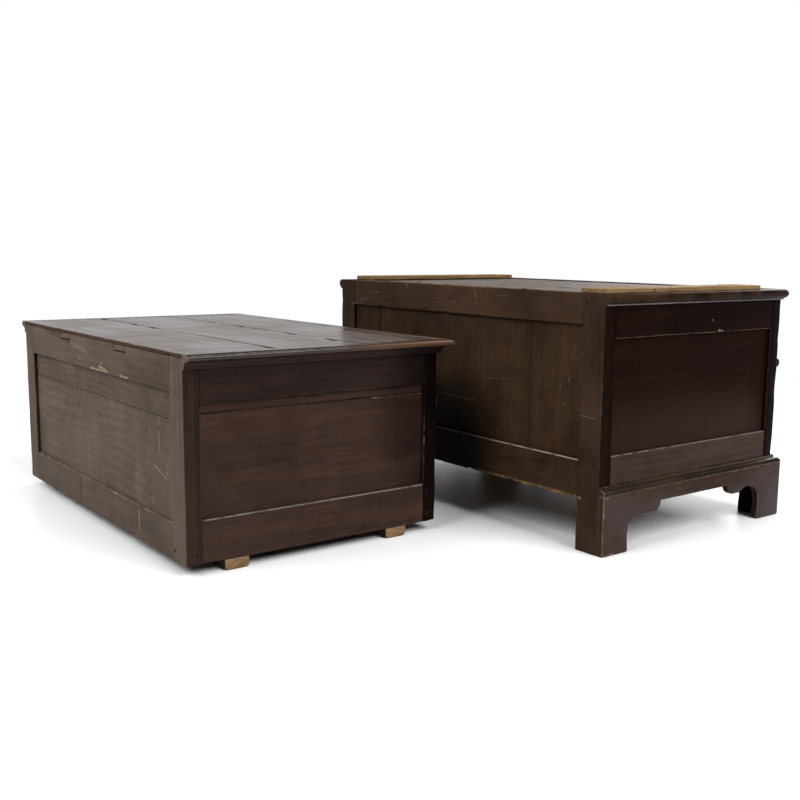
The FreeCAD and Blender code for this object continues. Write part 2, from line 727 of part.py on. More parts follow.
block_profile = [
    (size.block_width - size.block_round, zero),
    (size.block_width, size.block_round, size.block_round, "left"),
    (size.block_width, size.block_height),
    (zero, size.block_height),
    (zero, size.block_round),
    (size.block_round, zero, size.block_round, "left"),
]
blocks = []
for side in (-1, 1):
    near = size.block_spacing * side / 2 + size.block_width / 2
    blocks.append(extrude(block_profile, across, (-half_width, near, zero), x_way, size.carcass_width))
piece("upper_blocks", upper, blocks)

# Lower half
floor = size.lower_rail_floor
head = size.lower_height
deep_low = floor + size.lower_front_low_rail
deep_high = deep_low + size.lower_deep_opening
shallow_low = deep_high + size.divider_height
shallow_high = head - size.lower_front_high_rail
top_high = head - size.lower_top_drop
top_low = top_high - size.lower_top_thickness
top_reach = half_width - size.side_rail_thickness + size.lower_top_seat

lower["foot"] = zero
lower["head"] = head
lower["side_rails"] = [(floor, floor + size.lower_side_low_rail), (head - size.lower_side_high_rail, head)]
lower["back_rails"] = [(floor, floor + size.lower_back_low_rail), (head - size.lower_back_high_rail, head)]
lower["front_rails"] = [(floor, deep_low), (deep_high, shallow_low), (shallow_high, head)]
lower["side_joints"] = []
lower["top_seat"] = {"low": top_low, "reach": top_reach}
lower["rail_cuts"] = {}
frame(lower)

low = lower["back_rails"][0][1] - size.groove_depth
high = lower["back_rails"][1][0] + size.groove_depth - size.panel_play
left_joint = -inner_width + size.lower_left_board
right_joint = inner_width - size.lower_right_board
piece("lower_back_boards", lower, [
    box((start, cross_tongue_in, low), (end, cross_tongue_out, high))
    for start, end in (
        (-back_reach, left_joint - size.board_gap),
        (left_joint, right_joint - size.lower_board_gap),
        (right_joint, back_reach),
    )
])

top_boards = []
board_width = inner_depth * 2 / top_count
for index in range(top_count):
    start = -inner_depth + board_width * index
    end = start + board_width if index == top_count - 1 else start + board_width - size.board_gap
    top_boards.append(box((-top_reach, start, top_low), (top_reach, end, top_high)))
piece("lower_top_boards", lower, top_boards)

round_radius = (size.waist_height - size.waist_fillet) / 2
round_start = size.waist_reach - round_radius
round_middle = size.waist_fillet + round_radius
waist_profile = [
    (zero, zero),
    (size.waist_fillet_reach, zero),
    (size.waist_fillet_reach, size.waist_fillet),
    (round_start, size.waist_fillet),
    (size.waist_reach, round_middle, round_radius, "left"),
    (round_start, size.waist_height, round_radius, "left"),
    (zero, size.waist_height),
]
piece("lower_waist_moulding", lower, corner_mouldings(
    waist_profile, size.waist_reach, size.waist_height, head - size.waist_height))

ovolo_start = size.bracket_thickness - size.base_ovolo
ovolo_top = size.base_quirk + size.base_ovolo
base_profile = [
    (zero, zero),
    (size.bracket_thickness, zero),
    (size.bracket_thickness, size.base_quirk),
    (ovolo_start, ovolo_top, size.base_ovolo, "left"),
    (size.base_fillet, ovolo_top),
    (size.base_fillet, size.base_moulding_height),
    (zero, size.base_moulding_height),
]
piece("lower_base_moulding", lower, corner_mouldings(
    base_profile, size.bracket_thickness, size.base_moulding_height, size.bracket_height))

back_foot = (size.back_foot_width, size.back_scallop_width, size.back_lobe_width)
front_foot = (size.front_foot_width, size.front_scallop_width, size.front_lobe_width)
quarter = FreeCAD.Rotation(z_way, 90)
left_bracket = bracket(size.carcass_depth, back_foot, front_foot, False, True)
right_bracket = bracket(size.carcass_depth, front_foot, back_foot, True, False)
front_bracket = bracket(size.carcass_width, front_foot, front_foot, True, True)
turned(left_bracket, quarter.inverted(), (-half_width, half_depth, zero))
turned(right_bracket, quarter, (half_width, -half_depth, zero))
turned(front_bracket, flat, (-half_width, -half_depth, zero))
piece("lower_left_bracket", lower, [left_bracket])
piece("lower_right_bracket", lower, [right_bracket])
piece("lower_front_bracket", lower, [front_bracket])
piece("lower_divider_moulding", lower, [half_round(deep_high)])

lower_runners = []
for side in (-1, 1):
    post_anchor = (inner_width + size.runner_bearing) * side
    for low in (deep_low, shallow_low):
        lower_runners.append(runner(side, inner_width * side, low, post_anchor, size.runner_rise))
piece("lower_drawer_runners", lower, lower_runners)

strips = []
strip_back = half_depth - size.strip_setback
for side, strip_end in ((-1, strip_back), (1, strip_back - size.strip_stagger)):
    edges = span(side, half_width - size.strip_width, half_width)
    strips.append(box(
        (edges[0], strip_end - size.strip_length, head),
        (edges[1], strip_end, head + size.strip_thickness),
    ))
piece("lower_top_strips", lower, strips)

# Drawers
drawer("upper_left_drawer", upper, (-inner_width, -muntin_half, short_low, short_high), 1, size.short_runner_rise)
drawer("upper_right_drawer", upper, (muntin_half, inner_width, short_low, short_high), 1, size.short_runner_rise)
drawer("upper_long_drawer", upper, (-inner_width, inner_width, long_low, long_high), 2, size.runner_rise)
drawer("lower_shallow_drawer", lower, (-inner_width, inner_width, shallow_low, shallow_high), 2, size.runner_rise)
drawer("lower_deep_drawer", lower, (-inner_width, inner_width, deep_low, deep_high), 2, size.runner_rise)

doc.recompute()
for item in doc.Objects:
    if "Invalid" in item.State or "Error" in item.State:
        raise RuntimeError(f"{item.Label} did not build: {item.State}")
for item in pieces:
    if item.Shape.isNull() or not item.Shape.isValid():
        raise RuntimeError(f"{item.Label} has no valid shape")

os.makedirs("parts", exist_ok=True)
for item in pieces:
    item.Shape.exportStep(f"parts/{item.Label}.step")
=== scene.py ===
import json
import math
import random
import bmesh
import bpy
from mathutils import Matrix, Vector, noise


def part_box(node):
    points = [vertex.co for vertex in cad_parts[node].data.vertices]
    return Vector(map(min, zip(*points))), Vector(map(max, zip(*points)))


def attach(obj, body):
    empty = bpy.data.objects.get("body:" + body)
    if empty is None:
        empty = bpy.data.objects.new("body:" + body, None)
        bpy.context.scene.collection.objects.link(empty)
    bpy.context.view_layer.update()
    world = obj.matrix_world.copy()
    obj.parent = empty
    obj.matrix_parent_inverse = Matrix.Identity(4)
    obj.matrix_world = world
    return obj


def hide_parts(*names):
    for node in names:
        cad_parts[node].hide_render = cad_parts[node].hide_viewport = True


# Oak chest of drawers in two halves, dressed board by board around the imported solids.
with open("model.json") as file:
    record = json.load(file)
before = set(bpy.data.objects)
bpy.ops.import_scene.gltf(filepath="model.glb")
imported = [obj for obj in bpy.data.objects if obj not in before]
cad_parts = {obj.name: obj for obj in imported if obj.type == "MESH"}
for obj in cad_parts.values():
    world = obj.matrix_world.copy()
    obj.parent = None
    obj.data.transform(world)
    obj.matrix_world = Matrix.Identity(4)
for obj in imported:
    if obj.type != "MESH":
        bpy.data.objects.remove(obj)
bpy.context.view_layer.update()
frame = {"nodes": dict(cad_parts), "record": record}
record = frame["record"]
bodyOf = {node: body for body, nodes in record["behaviour"]["bodies"].items() for node in nodes}
bpy.ops.object.select_all(action="DESELECT")
print("frame loaded,", len(bodyOf), "nodes")

alongX, alongY, alongZ = range(3)


# selection and edit mode

def pickOnly(*pieces):
    bpy.ops.object.select_all(action="DESELECT")
    for piece in pieces:
        piece.select_set(True)
    bpy.context.view_layer.objects.active = pieces[0]


def editAll(piece):
    pickOnly(piece)
    bpy.ops.object.mode_set(mode="EDIT")
    bpy.ops.mesh.select_all(action="SELECT")


def editEdges(piece, rule):
    pickOnly(piece)
    bpy.ops.object.mode_set(mode="EDIT")
    bpy.ops.mesh.select_mode(type="EDGE")
    bpy.ops.mesh.select_all(action="DESELECT")
    shape = bmesh.from_edit_mesh(piece.data)
    for edge in shape.edges:
        if rule(edge.verts[0].co, edge.verts[1].co):
            edge.select_set(True)
    bmesh.update_edit_mesh(piece.data)


def leaveEdit():
    bpy.ops.object.mode_set(mode="OBJECT")


def joinAs(node, parts):
    # the piece has the name of its node, in one word
    pickOnly(*parts)
    if len(parts) > 1:
        bpy.ops.object.join()
    words = node.split("_")
    piece = bpy.context.object
    piece.name = words[0] + "".join(word.capitalize() for word in words[1:])
    piece.data.name = piece.name
    return piece


# where the CAD solids are

def solidBoxes(node):
    mesh = frame["nodes"][node].data
    places = [tuple(round(c, 5) for c in vertex.co) for vertex in mesh.vertices]
    home = {place: place for place in places}

    def rootOf(place):
        while home[place] != place:
            home[place] = home[home[place]]
            place = home[place]
        return place

    for face in mesh.polygons:
        first = rootOf(places[face.vertices[0]])
        for index in face.vertices[1:]:
            home[rootOf(places[index])] = first
    groups = {}
    for place in home:
        groups.setdefault(rootOf(place), []).append(place)
    boxes = []
    for members in groups.values():
        low = Vector([min(place[axis] for place in members) for axis in range(3)])
        high = Vector([max(place[axis] for place in members) for axis in range(3)])
        boxes.append((low, high))
    return sorted(boxes, key=lambda box: tuple(round(c, 4) for c in box[0]))


def clipped(box, axis, low, high):
    start, end = box[0].copy(), box[1].copy()
    start[axis] = max(start[axis], low)
    end[axis] = min(end[axis], high)
    return start, end


# board work

def startBoard(low, high):
    bpy.ops.object.select_all(action="DESELECT")
    bpy.ops.mesh.primitive_cube_add(size=1, location=(low + high) / 2, scale=high - low)
    bpy.ops.object.transform_apply(location=True, rotation=False, scale=True)
    return bpy.context.object


def chamferEdge(board, spots, width):
    # spots gives the place of the edge on two axes
    near = 0.0003

    def onEdge(first, last):
        return all(abs(end[axis] - place) < near for end in (first, last) for axis, place in spots.items())

    editEdges(board, onEdge)
    bpy.ops.mesh.bevel(offset=width, segments=1, affect="EDGES")
    leaveEdit()


def roundEdges(piece, width, segments=2, angle=35):
    pickOnly(piece)
    soft = piece.modifiers.new("softEdges", "BEVEL")
    soft.width = width
    soft.segments = segments
    soft.limit_method = "ANGLE"
    soft.angle_limit = math.radians(angle)
    bpy.ops.object.modifier_apply(modifier=soft.name)


def cutRings(board, axis, spacing):
    # rings of edges along the board, so that its arrises can wear unevenly
    reach = [vertex.co[axis] for vertex in board.data.vertices]
    length = max(reach) - min(reach)
    editEdges(board, lambda first, last: abs(first[axis] - last[axis]) > 0.8 * length)
    bpy.ops.mesh.subdivide(number_cuts=max(1, round(length / spacing)))
    leaveEdit()


def cutGroove(board, face, place, across, middle, width, depth):
    # a scratched line on the face that lies at the given place
    for shift in (-width / 2, 0, width / 2):
        point, normal = Vector(), Vector()
        point[across] = middle + shift
        normal[across] = 1
        editAll(board)
        bpy.ops.mesh.bisect(plane_co=point, plane_no=normal)
        leaveEdit()
    vertices = board.data.vertices
    inward = -depth if place > sum(vertex.co[face] for vertex in vertices) / len(vertices) else depth
    near = width / 10
    for vertex in vertices:
        if abs(vertex.co[across] - middle) < near and abs(vertex.co[face] - place) < near:
            vertex.co[face] += inward


def wearArrises(board, low, high, edge, depth, seed, scale=24, calm=0.1):
    # the long edges sink here and there, never beyond the board's own box
    reach = edge * 1.4
    for vertex in board.data.vertices:
        near = []
        for axis in range(3):
            if vertex.co[axis] - low[axis] < reach:
                near.append((axis, 1))
            elif high[axis] - vertex.co[axis] < reach:
                near.append((axis, -1))
        if len(near) < 2:
            continue
        bite = max(0, noise.noise(vertex.co * scale + seed) - calm) * depth
        for axis, way in near:
            vertex.co[axis] += way * bite


def addValues(piece, name, kind, values):
    attribute = piece.data.attributes.new(name, kind, "POINT")
    attribute.data.foreach_set("vector" if kind == "FLOAT_VECTOR" else "value", values)


grainShift = 8    # the grain of a board starts anywhere within this many metres


def grainOn(board, axis, low, high, dice, tone, arris):
    # the oak materials read the place on the board, its half sizes, a shift of the grain and a tone
    width, depth = [other for other in range(3) if other != axis]
    if (high - low)[width] < (high - low)[depth]:
        width, depth = depth, width
    middle = (low + high) / 2
    half = (high - low) / 2
    seed = [dice.uniform(-grainShift, grainShift) for _ in range(3)]
    shade = dice.uniform(*tone)
    spots, halves, seeds = [], [], []
    for vertex in board.data.vertices:
        place = vertex.co - middle
        spots += [place[axis], place[width], place[depth]]
        halves += [half[axis], half[width], half[depth]]
        seeds += seed
    count = len(board.data.vertices)
    addValues(board, "boardSpot", "FLOAT_VECTOR", spots)
    addValues(board, "boardHalf", "FLOAT_VECTOR", halves)
    addValues(board, "boardSeed", "FLOAT_VECTOR", seeds)
    addValues(board, "boardTone", "FLOAT", [shade] * count)
    addValues(board, "arris", "FLOAT", arris)


def raggedEdge(board, height, ragged):
    # a split lower or upper edge, eaten away unevenly
    depth, scale, calm = ragged
    near, slack = 0.003, 0.001
    fade, spread, octaves = 0.6, 2.1, 4
    for vertex in board.data.vertices:
        if abs(vertex.co.z - height) < near:
            bite = noise.fractal(vertex.co * scale, fade, spread, octaves) - calm
            vertex.co.z += max(0, bite) * depth * (1 if height < vertex.co.z + slack else -1)


def makeBoard(box, axis, style, key, chamfers=(), grooves=(), creases=()):
    low, high = box
    dice = random.Random(key)
    slack, creaseReach, wearShift = 0.0004, style["edge"] * 0.8, 90
    board = startBoard(low, high)
    for spots, width in chamfers:
        chamferEdge(board, spots, width)
    roundEdges(board, style["edge"])
    cutRings(board, axis, style["spacing"])
    for groove in grooves:
        cutGroove(board, *groove)
    arris = [0.0] * len(board.data.vertices)
    for spots, width in chamfers:
        for vertex in board.data.vertices:
            if sum(abs(vertex.co[side] - place) for side, place in spots.items()) < width + slack:
                arris[vertex.index] = 1.0
    # the crease edges get dirt and painted shade in the material
    for side, place in creases:
        for vertex in board.data.vertices:
            if abs(vertex.co[side] - place) < creaseReach:
                arris[vertex.index] = -1.0
    seed = Vector([dice.uniform(0, wearShift) for _ in range(3)])
    wearArrises(board, low, high, style["edge"], style["wear"], seed)
    grainOn(board, axis, low, high, dice, style["tone"], arris)
    return board


# shapes that keep the outline of their CAD solid

def copyNode(node):
    mesh = frame["nodes"][node].data.copy()
    mesh.materials.clear()
    piece = bpy.data.objects.new(node + "Copy", mesh)
    bpy.context.collection.objects.link(piece)
    pickOnly(piece)
    bpy.ops.mesh.customdata_custom_splitnormals_clear()
    editAll(piece)
    bpy.ops.mesh.remove_doubles(threshold=0.00001)
    bpy.ops.mesh.select_all(action="DESELECT")
    bpy.ops.mesh.select_interior_faces()
    bpy.ops.mesh.delete(type="FACE")
    bpy.ops.mesh.select_all(action="SELECT")
    bpy.ops.mesh.dissolve_limited(angle_limit=math.radians(0.5))
    bpy.ops.mesh.normals_make_consistent(inside=False)
    leaveEdit()
    return piece


def cutAway(piece, point, normal):
    # drops what lies on the side that the normal points to, and closes the cut
    editAll(piece)
    bpy.ops.mesh.bisect(plane_co=point, plane_no=normal, use_fill=True, clear_outer=True)
    leaveEdit()


def grainOnShape(piece, axis, key, edgeWidth, tone=(0.9, 1.1), toneAt=None):
    # each loose solid gets its own grain, and its rounded edges are marked as worn or, in a crease, as dirty
    # and in painted shade
    sharp, broad = math.radians(30), 1.6
    width, depth = [other for other in range(3) if other != axis]
    shape = bmesh.new()
    shape.from_mesh(piece.data)
    shape.verts.ensure_lookup_table()
    wide = set()
    for face in shape.faces:
        if face.calc_area() > broad * edgeWidth * max(edge.calc_length() for edge in face.edges):
            wide.update(vertex.index for vertex in face.verts)
    arris = [0.0] * len(shape.verts)
    for edge in shape.edges:
        if len(edge.link_faces) == 2:
            angle = edge.calc_face_angle_signed(0)
            if abs(angle) > sharp:
                for vertex in edge.verts:
                    if vertex.index not in wide:
                        arris[vertex.index] = math.copysign(1, angle)
    count = len(shape.verts)
    spots, seeds, tones = [0.0] * count * 3, [0.0] * count * 3, [1.0] * count
    dice = random.Random(key)
    seen = set()
    for start in shape.verts:
        if start.index in seen:
            continue
        seed = [dice.uniform(-grainShift, grainShift) for _ in range(3)]
        shade = toneAt(start.co) if toneAt else dice.uniform(*tone)
        waiting = [start]
        seen.add(start.index)
        while waiting:
            vertex = waiting.pop()
            at = vertex.index * 3
            spots[at:at + 3] = [vertex.co[axis], vertex.co[width], vertex.co[depth]]
            seeds[at:at + 3] = seed
            tones[vertex.index] = shade
            for edge in vertex.link_edges:
                other = edge.other_vert(vertex)
                if other.index not in seen:
                    seen.add(other.index)
                    waiting.append(other)
    shape.free()
    farAway = 5.0
    addValues(piece, "boardSpot", "FLOAT_VECTOR", spots)
    addValues(piece, "boardHalf", "FLOAT_VECTOR", [farAway] * count * 3)
    addValues(piece, "boardSeed", "FLOAT_VECTOR", seeds)
    addValues(piece, "boardTone", "FLOAT", tones)
    addValues(piece, "arris", "FLOAT", arris)


def smoothBy(piece, angle):
    pickOnly(piece)
    bpy.ops.object.shade_smooth_by_angle(angle=math.radians(angle))


def seat(piece, node, material, second=None, rule=None):
    # the second material goes on the faces that the rule names
    piece.data.materials.clear()
    piece.data.materials.append(material)
    if second:
        piece.data.materials.append(second)
        for face in piece.data.polygons:
            face.material_index = 1 if rule(face) else 0
    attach(piece, bodyOf[node])
    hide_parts(node)


def facesSideways(face):
    return abs(face.normal.x) > 0.7


def facesBack(face):
    return face.normal.y > 0.8


# materials

def addNode(tree, kind, values, **settings):
    node = tree.nodes.new("ShaderNode" + kind)
    for name, value in settings.items():
        setattr(node, name, value)
    for name, value in values.items():
        if isinstance(value, bpy.types.NodeSocket):
            tree.links.new(value, node.inputs[name])
        else:
            node.inputs[name].default_value = value
    return node


def mathOf(tree, kind, first, second):
    return addNode(tree, "Math", {0: first, 1: second}, operation=kind).outputs[0]


def rampOf(tree, value, low, high, start=0.0, end=1.0):
    values = {"Value": value, "From Min": low, "From Max": high, "To Min": start, "To Max": end}
    return addNode(tree, "MapRange", values, interpolation_type="SMOOTHSTEP").outputs[0]


def mixOf(tree, amount, first, second):
    return addNode(tree, "Mix", {0: amount, 6: first, 7: second}, data_type="RGBA").outputs[2]


def noiseOf(tree, coord, stretch, detail, roughness=0.6, wander=0.0):
    placed = addNode(tree, "Mapping", {"Vector": coord, "Scale": stretch}).outputs[0]
    values = {"Vector": placed, "Scale": 1.0, "Detail": detail, "Roughness": roughness, "Distortion": wander}
    return addNode(tree, "TexNoise", values).outputs[0]


def attributeOf(tree, name, output):
    return addNode(tree, "Attribute", {}, attribute_name=name).outputs[output]


def markOf(tree, place, mark):
    # how near a place is to a stroke between two points
    first, last, width = mark
    start = Vector(first)
    along = Vector(last) - start
    reach = addNode(tree, "VectorMath", {0: place, 1: start}, operation="SUBTRACT").outputs[0]
    step = along / max(along.length_squared, 1e-8)
    run = addNode(tree, "VectorMath", {0: reach, 1: step}, operation="DOT_PRODUCT").outputs["Value"]
    run = addNode(tree, "Math", {0: run, 1: 0.0}, operation="ADD", use_clamp=True).outputs[0]
    nearest = addNode(tree, "VectorMath", {0: along, "Scale": run}, operation="SCALE").outputs[0]
    gap = addNode(tree, "VectorMath", {0: reach, 1: nearest}, operation="DISTANCE").outputs["Value"]
    return rampOf(tree, gap, width * 0.35, width, 1.0, 0.0)


def marksOf(tree, place, marks, broken):
    total = markOf(tree, place, marks[0])
    for mark in marks[1:]:
        total = mathOf(tree, "MAXIMUM", total, markOf(tree, place, mark))
    return mathOf(tree, "MULTIPLY", total, broken)


oakGrain = {
    "bends": (2.2, 3.4, 3.4), "fibres": (9, 330, 330), "pores": (30, 1100, 1100), "rings": (0.8, 20, 20),
    "curl": (19, 19, 19), "curlTurn": (0, 0, 0.75), "curlPatches": (6, 14, 14), "rubs": (34, 34, 34),
    "streakSpan": (0.3, 0.7), "poreSpan": (0.56, 0.68), "curlSpan": (0.38, 0.56), "stainSpan": (0.32, 0.68),
    "patchSpan": (0.34, 0.68), "breakSpan": (0.36, 0.62), "glossSpan": (0.3, 1.7),
    "wearSpan": 0.12, "arrisSpan": 0.2, "creaseDirtAndShade": 0.7, "bumpDepth": 0.0004,
}


def makeOak(name, look):
    material = bpy.data.materials.new(name)
    material.use_nodes = True
    tree = material.node_tree
    shader = tree.nodes["Principled BSDF"]
    spot = attributeOf(tree, "boardSpot", "Vector")
    half = attributeOf(tree, "boardHalf", "Vector")
    seed = attributeOf(tree, "boardSeed", "Vector")
    tone = attributeOf(tree, "boardTone", "Fac")
    arris = attributeOf(tree, "arris", "Fac")
    place = addNode(tree, "TexCoord", {}).outputs["Object"]

    # the grain runs along the board and sways a little
    straight = addNode(tree, "VectorMath", {0: spot, 1: seed}, operation="ADD").outputs[0]
    bent = addNode(tree, "Mapping", {"Vector": straight, "Scale": oakGrain["bends"]}).outputs[0]
    bends = addNode(tree, "TexNoise", {"Vector": bent, "Scale": 1.0, "Detail": 2.0}).outputs["Color"]
    swayed = {0: bends, 1: (0.0, look["sway"], look["sway"]), 2: straight}
    grainSpot = addNode(tree, "VectorMath", swayed, operation="MULTIPLY_ADD").outputs[0]

    # growth streaks, fibres, rings and open pores
    streaks = noiseOf(tree, grainSpot, look["streakScale"], 6, wander=0.8)
    streaks = rampOf(tree, streaks, *oakGrain["streakSpan"])
    fibres = rampOf(tree, noiseOf(tree, grainSpot, oakGrain["fibres"], 4), *oakGrain["streakSpan"])
    pores = rampOf(tree, noiseOf(tree, grainSpot, oakGrain["pores"], 2), *oakGrain["poreSpan"])
    ringSpot = addNode(tree, "Mapping", {"Vector": grainSpot, "Scale": oakGrain["rings"]}).outputs[0]
    ringValues = {"Vector": ringSpot, "Scale": 1.0, "Distortion": 6.0, "Detail": 3.0, "Detail Scale": 0.8}
    rings = addNode(tree, "TexWave", ringValues, wave_type="RINGS", rings_direction="X").outputs["Fac"]
    figure = mathOf(tree, "MULTIPLY", rings, look["rings"])
    grain = mathOf(tree, "ADD", mathOf(tree, "MULTIPLY", streaks, look["streaks"]), figure)
    grain = mathOf(tree, "ADD", grain, mathOf(tree, "MULTIPLY", fibres, look["fibres"]))
    if look["curl"]:
        turned = {"Vector": grainSpot, "Rotation": oakGrain["curlTurn"], "Scale": oakGrain["curl"]}
        curlSpot = addNode(tree, "Mapping", turned).outputs[0]
        curlValues = {
            "Vector": curlSpot, "Scale": 1.0, "Distortion": 7.0, "Detail": 2.0, "Detail Scale": 0.6,
        }
        curl = addNode(tree, "TexWave", curlValues, wave_type="BANDS", bands_direction="X").outputs["Fac"]
        curlPatches = noiseOf(tree, straight, oakGrain["curlPatches"], 2)
        curlPatches = rampOf(tree, curlPatches, *oakGrain["curlSpan"], 0.0, look["curl"])
        grain = mathOf(tree, "ADD", grain, mathOf(tree, "MULTIPLY", curl, curlPatches))
    colour = mixOf(tree, grain, look["dark"], look["light"])
    colour = mixOf(tree, mathOf(tree, "MULTIPLY", pores, look["pores"]), colour, look["pore"])

    # each board has its tone, with soft stains across it
    stains = noiseOf(tree, place, (look["stainScale"],) * 3, 7, 0.7, wander=0.6)
    stains = rampOf(tree, stains, *oakGrain["stainSpan"], 1 - look["stains"], 1 + look["stains"])
    shade = mathOf(tree, "MULTIPLY", tone, stains)
    colour = addNode(tree, "VectorMath", {0: colour, "Scale": shade}, operation="SCALE").outputs[0]

    # a veil of dust and wax in large patches
    patches = rampOf(tree, noiseOf(tree, place, (look["patch"],) * 3, 6), *oakGrain["patchSpan"])
    colour = mixOf(tree, mathOf(tree, "MULTIPLY", patches, look["veil"]), colour, look["dust"])

    # the gap to the nearest long edge and to the nearest end of the board
    inside = addNode(tree, "VectorMath", {0: spot}, operation="ABSOLUTE").outputs[0]
    gaps = addNode(tree, "VectorMath", {0: half, 1: inside}, operation="SUBTRACT").outputs[0]
    gap = addNode(tree, "SeparateXYZ", {0: gaps}).outputs
    edgeGap = mathOf(tree, "MAXIMUM", gap[1], gap[2])
    spread = noiseOf(tree, place, oakGrain["rubs"], 6, 0.7)
    rubbed = rampOf(tree, edgeGap, 0.0, look["wearWidth"], 1.0, 0.0)
    rubs = rampOf(tree, spread, look["wearStart"], look["wearStart"] + oakGrain["wearSpan"])
    rubbed = mathOf(tree, "MULTIPLY", rubbed, rubs)
    colour = mixOf(tree, mathOf(tree, "MULTIPLY", rubbed, look["wear"]), colour, look["worn"])
    bareEnd = look["arrisStart"] + oakGrain["arrisSpan"]
    bare = rampOf(tree, spread, look["arrisStart"], bareEnd, 0.0, look["arrisWear"])
    colour = mixOf(tree, mathOf(tree, "MULTIPLY", arris, bare), colour, look["arrisWorn"])
    # dirt and painted shade near the ends and sides of each board, where it meets other parts, and in its
    # creases
    rimGap = mathOf(tree, "MINIMUM", gap[0], gap[1])
    grime = rampOf(tree, rimGap, 0.0, look["grimeWidth"], look["grime"], 0.0)
    crease = mathOf(tree, "MULTIPLY", arris, -oakGrain["creaseDirtAndShade"])
    grime = mathOf(tree, "MAXIMUM", grime, crease)
    colour = mixOf(tree, grime, colour, look["soot"])

    # pale strokes, flecks, torn fibres, holes and soft stains, and marks of painted shade, painted highlight
    # and painted light from the floor
    for mark in look["marks"]:
        broken = noiseOf(tree, place, (mark["grit"],) * 3, 3)
        broken = rampOf(tree, broken, *oakGrain["breakSpan"], 0.0, mark["strength"])
        colour = mixOf(tree, marksOf(tree, place, mark["strokes"], broken), colour, mark["colour"])
    tree.links.new(colour, shader.inputs["Base Color"])

    gloss = rampOf(tree, mathOf(tree, "ADD", streaks, patches), *oakGrain["glossSpan"], *look["gloss"])
    dull = mathOf(tree, "MULTIPLY", arris, -1.0)    # creases have no gloss
    tree.links.new(mathOf(tree, "MAXIMUM", gloss, dull), shader.inputs["Roughness"])
    shader.inputs["Specular IOR Level"].default_value = look["shine"]
    relief = mathOf(tree, "SUBTRACT", mathOf(tree, "ADD", fibres, streaks), pores)
    bumpValues = {"Height": relief, "Strength": look["bump"], "Distance": oakGrain["bumpDepth"]}
    bump = addNode(tree, "Bump", bumpValues)
    tree.links.new(bump.outputs[0], shader.inputs["Normal"])
    return material


def tuned(base, **changes):
    look = dict(base)
    look.update(changes)
    return look


# where the faces of the two frames are

frameBoxes = {}
for half in ("upper", "lower"):
    low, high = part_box(f"{half}_front_posts")
    backLow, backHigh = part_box(f"{half}_back_posts")
    posts = solidBoxes(f"{half}_back_posts")
    frameBoxes[half] = {
        "left": low.x, "right": high.x, "front": low.y, "back": backHigh.y, "foot": low.z, "head": high.z,
        "innerFront": high.y, "innerBack": backLow.y, "innerLeft": posts[0][1].x, "innerRight": posts[1][0].x,
        "middle": (low.x + high.x) / 2,
    }


# marks on the wood, among them painted shade, painted highlights and painted light from the floor

def strokesOn(middle, face, lines):
    # lines give two places across and up a back face, and a half width
    return [((middle + a, face, b), (middle + c, face, d), width) for a, b, c, d, width in lines]


def strokesBeside(face, lines):
    # the same on a side face, with places along and up it
    return [((face, a, b), (face, c, d), width) for a, b, c, d, width in lines]


def paint(colour, grit, strength, strokes):
    # fine grit breaks the strokes up
    return {"colour": (*colour, 1), "grit": grit, "strength": strength, "strokes": strokes}


upperMiddle, lowerMiddle = frameBoxes["upper"]["middle"], frameBoxes["lower"]["middle"]
upperBack, lowerBack = frameBoxes["upper"]["back"], frameBoxes["lower"]["back"]
upperSide, lowerSide = frameBoxes["upper"]["left"], frameBoxes["lower"]["left"]
bracketSide, noseSide = (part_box(node)[0].x for node in ("lower_left_bracket", "upper_top_moulding"))
panelJoint = max(low.z for low, high in solidBoxes("upper_side_panels"))
sink = 0.008    # the boards and panels lie this far behind the posts
# the soft patches made with this grit include painted shade and painted light from the floor
softGrit = 0.05    # so coarse that a stroke stays whole, as a soft stain
stileGap = 0.0008    # from a pale line on a stile to its inner edge
upperStile, lowerStile = (frameBoxes[half]["innerFront"] - stileGap for half in ("upper", "lower"))
noseGap = 0.002    # from a pale line on the top moulding to its nose
jointGap = 0.0012    # from a pale line on the side panel to its joint

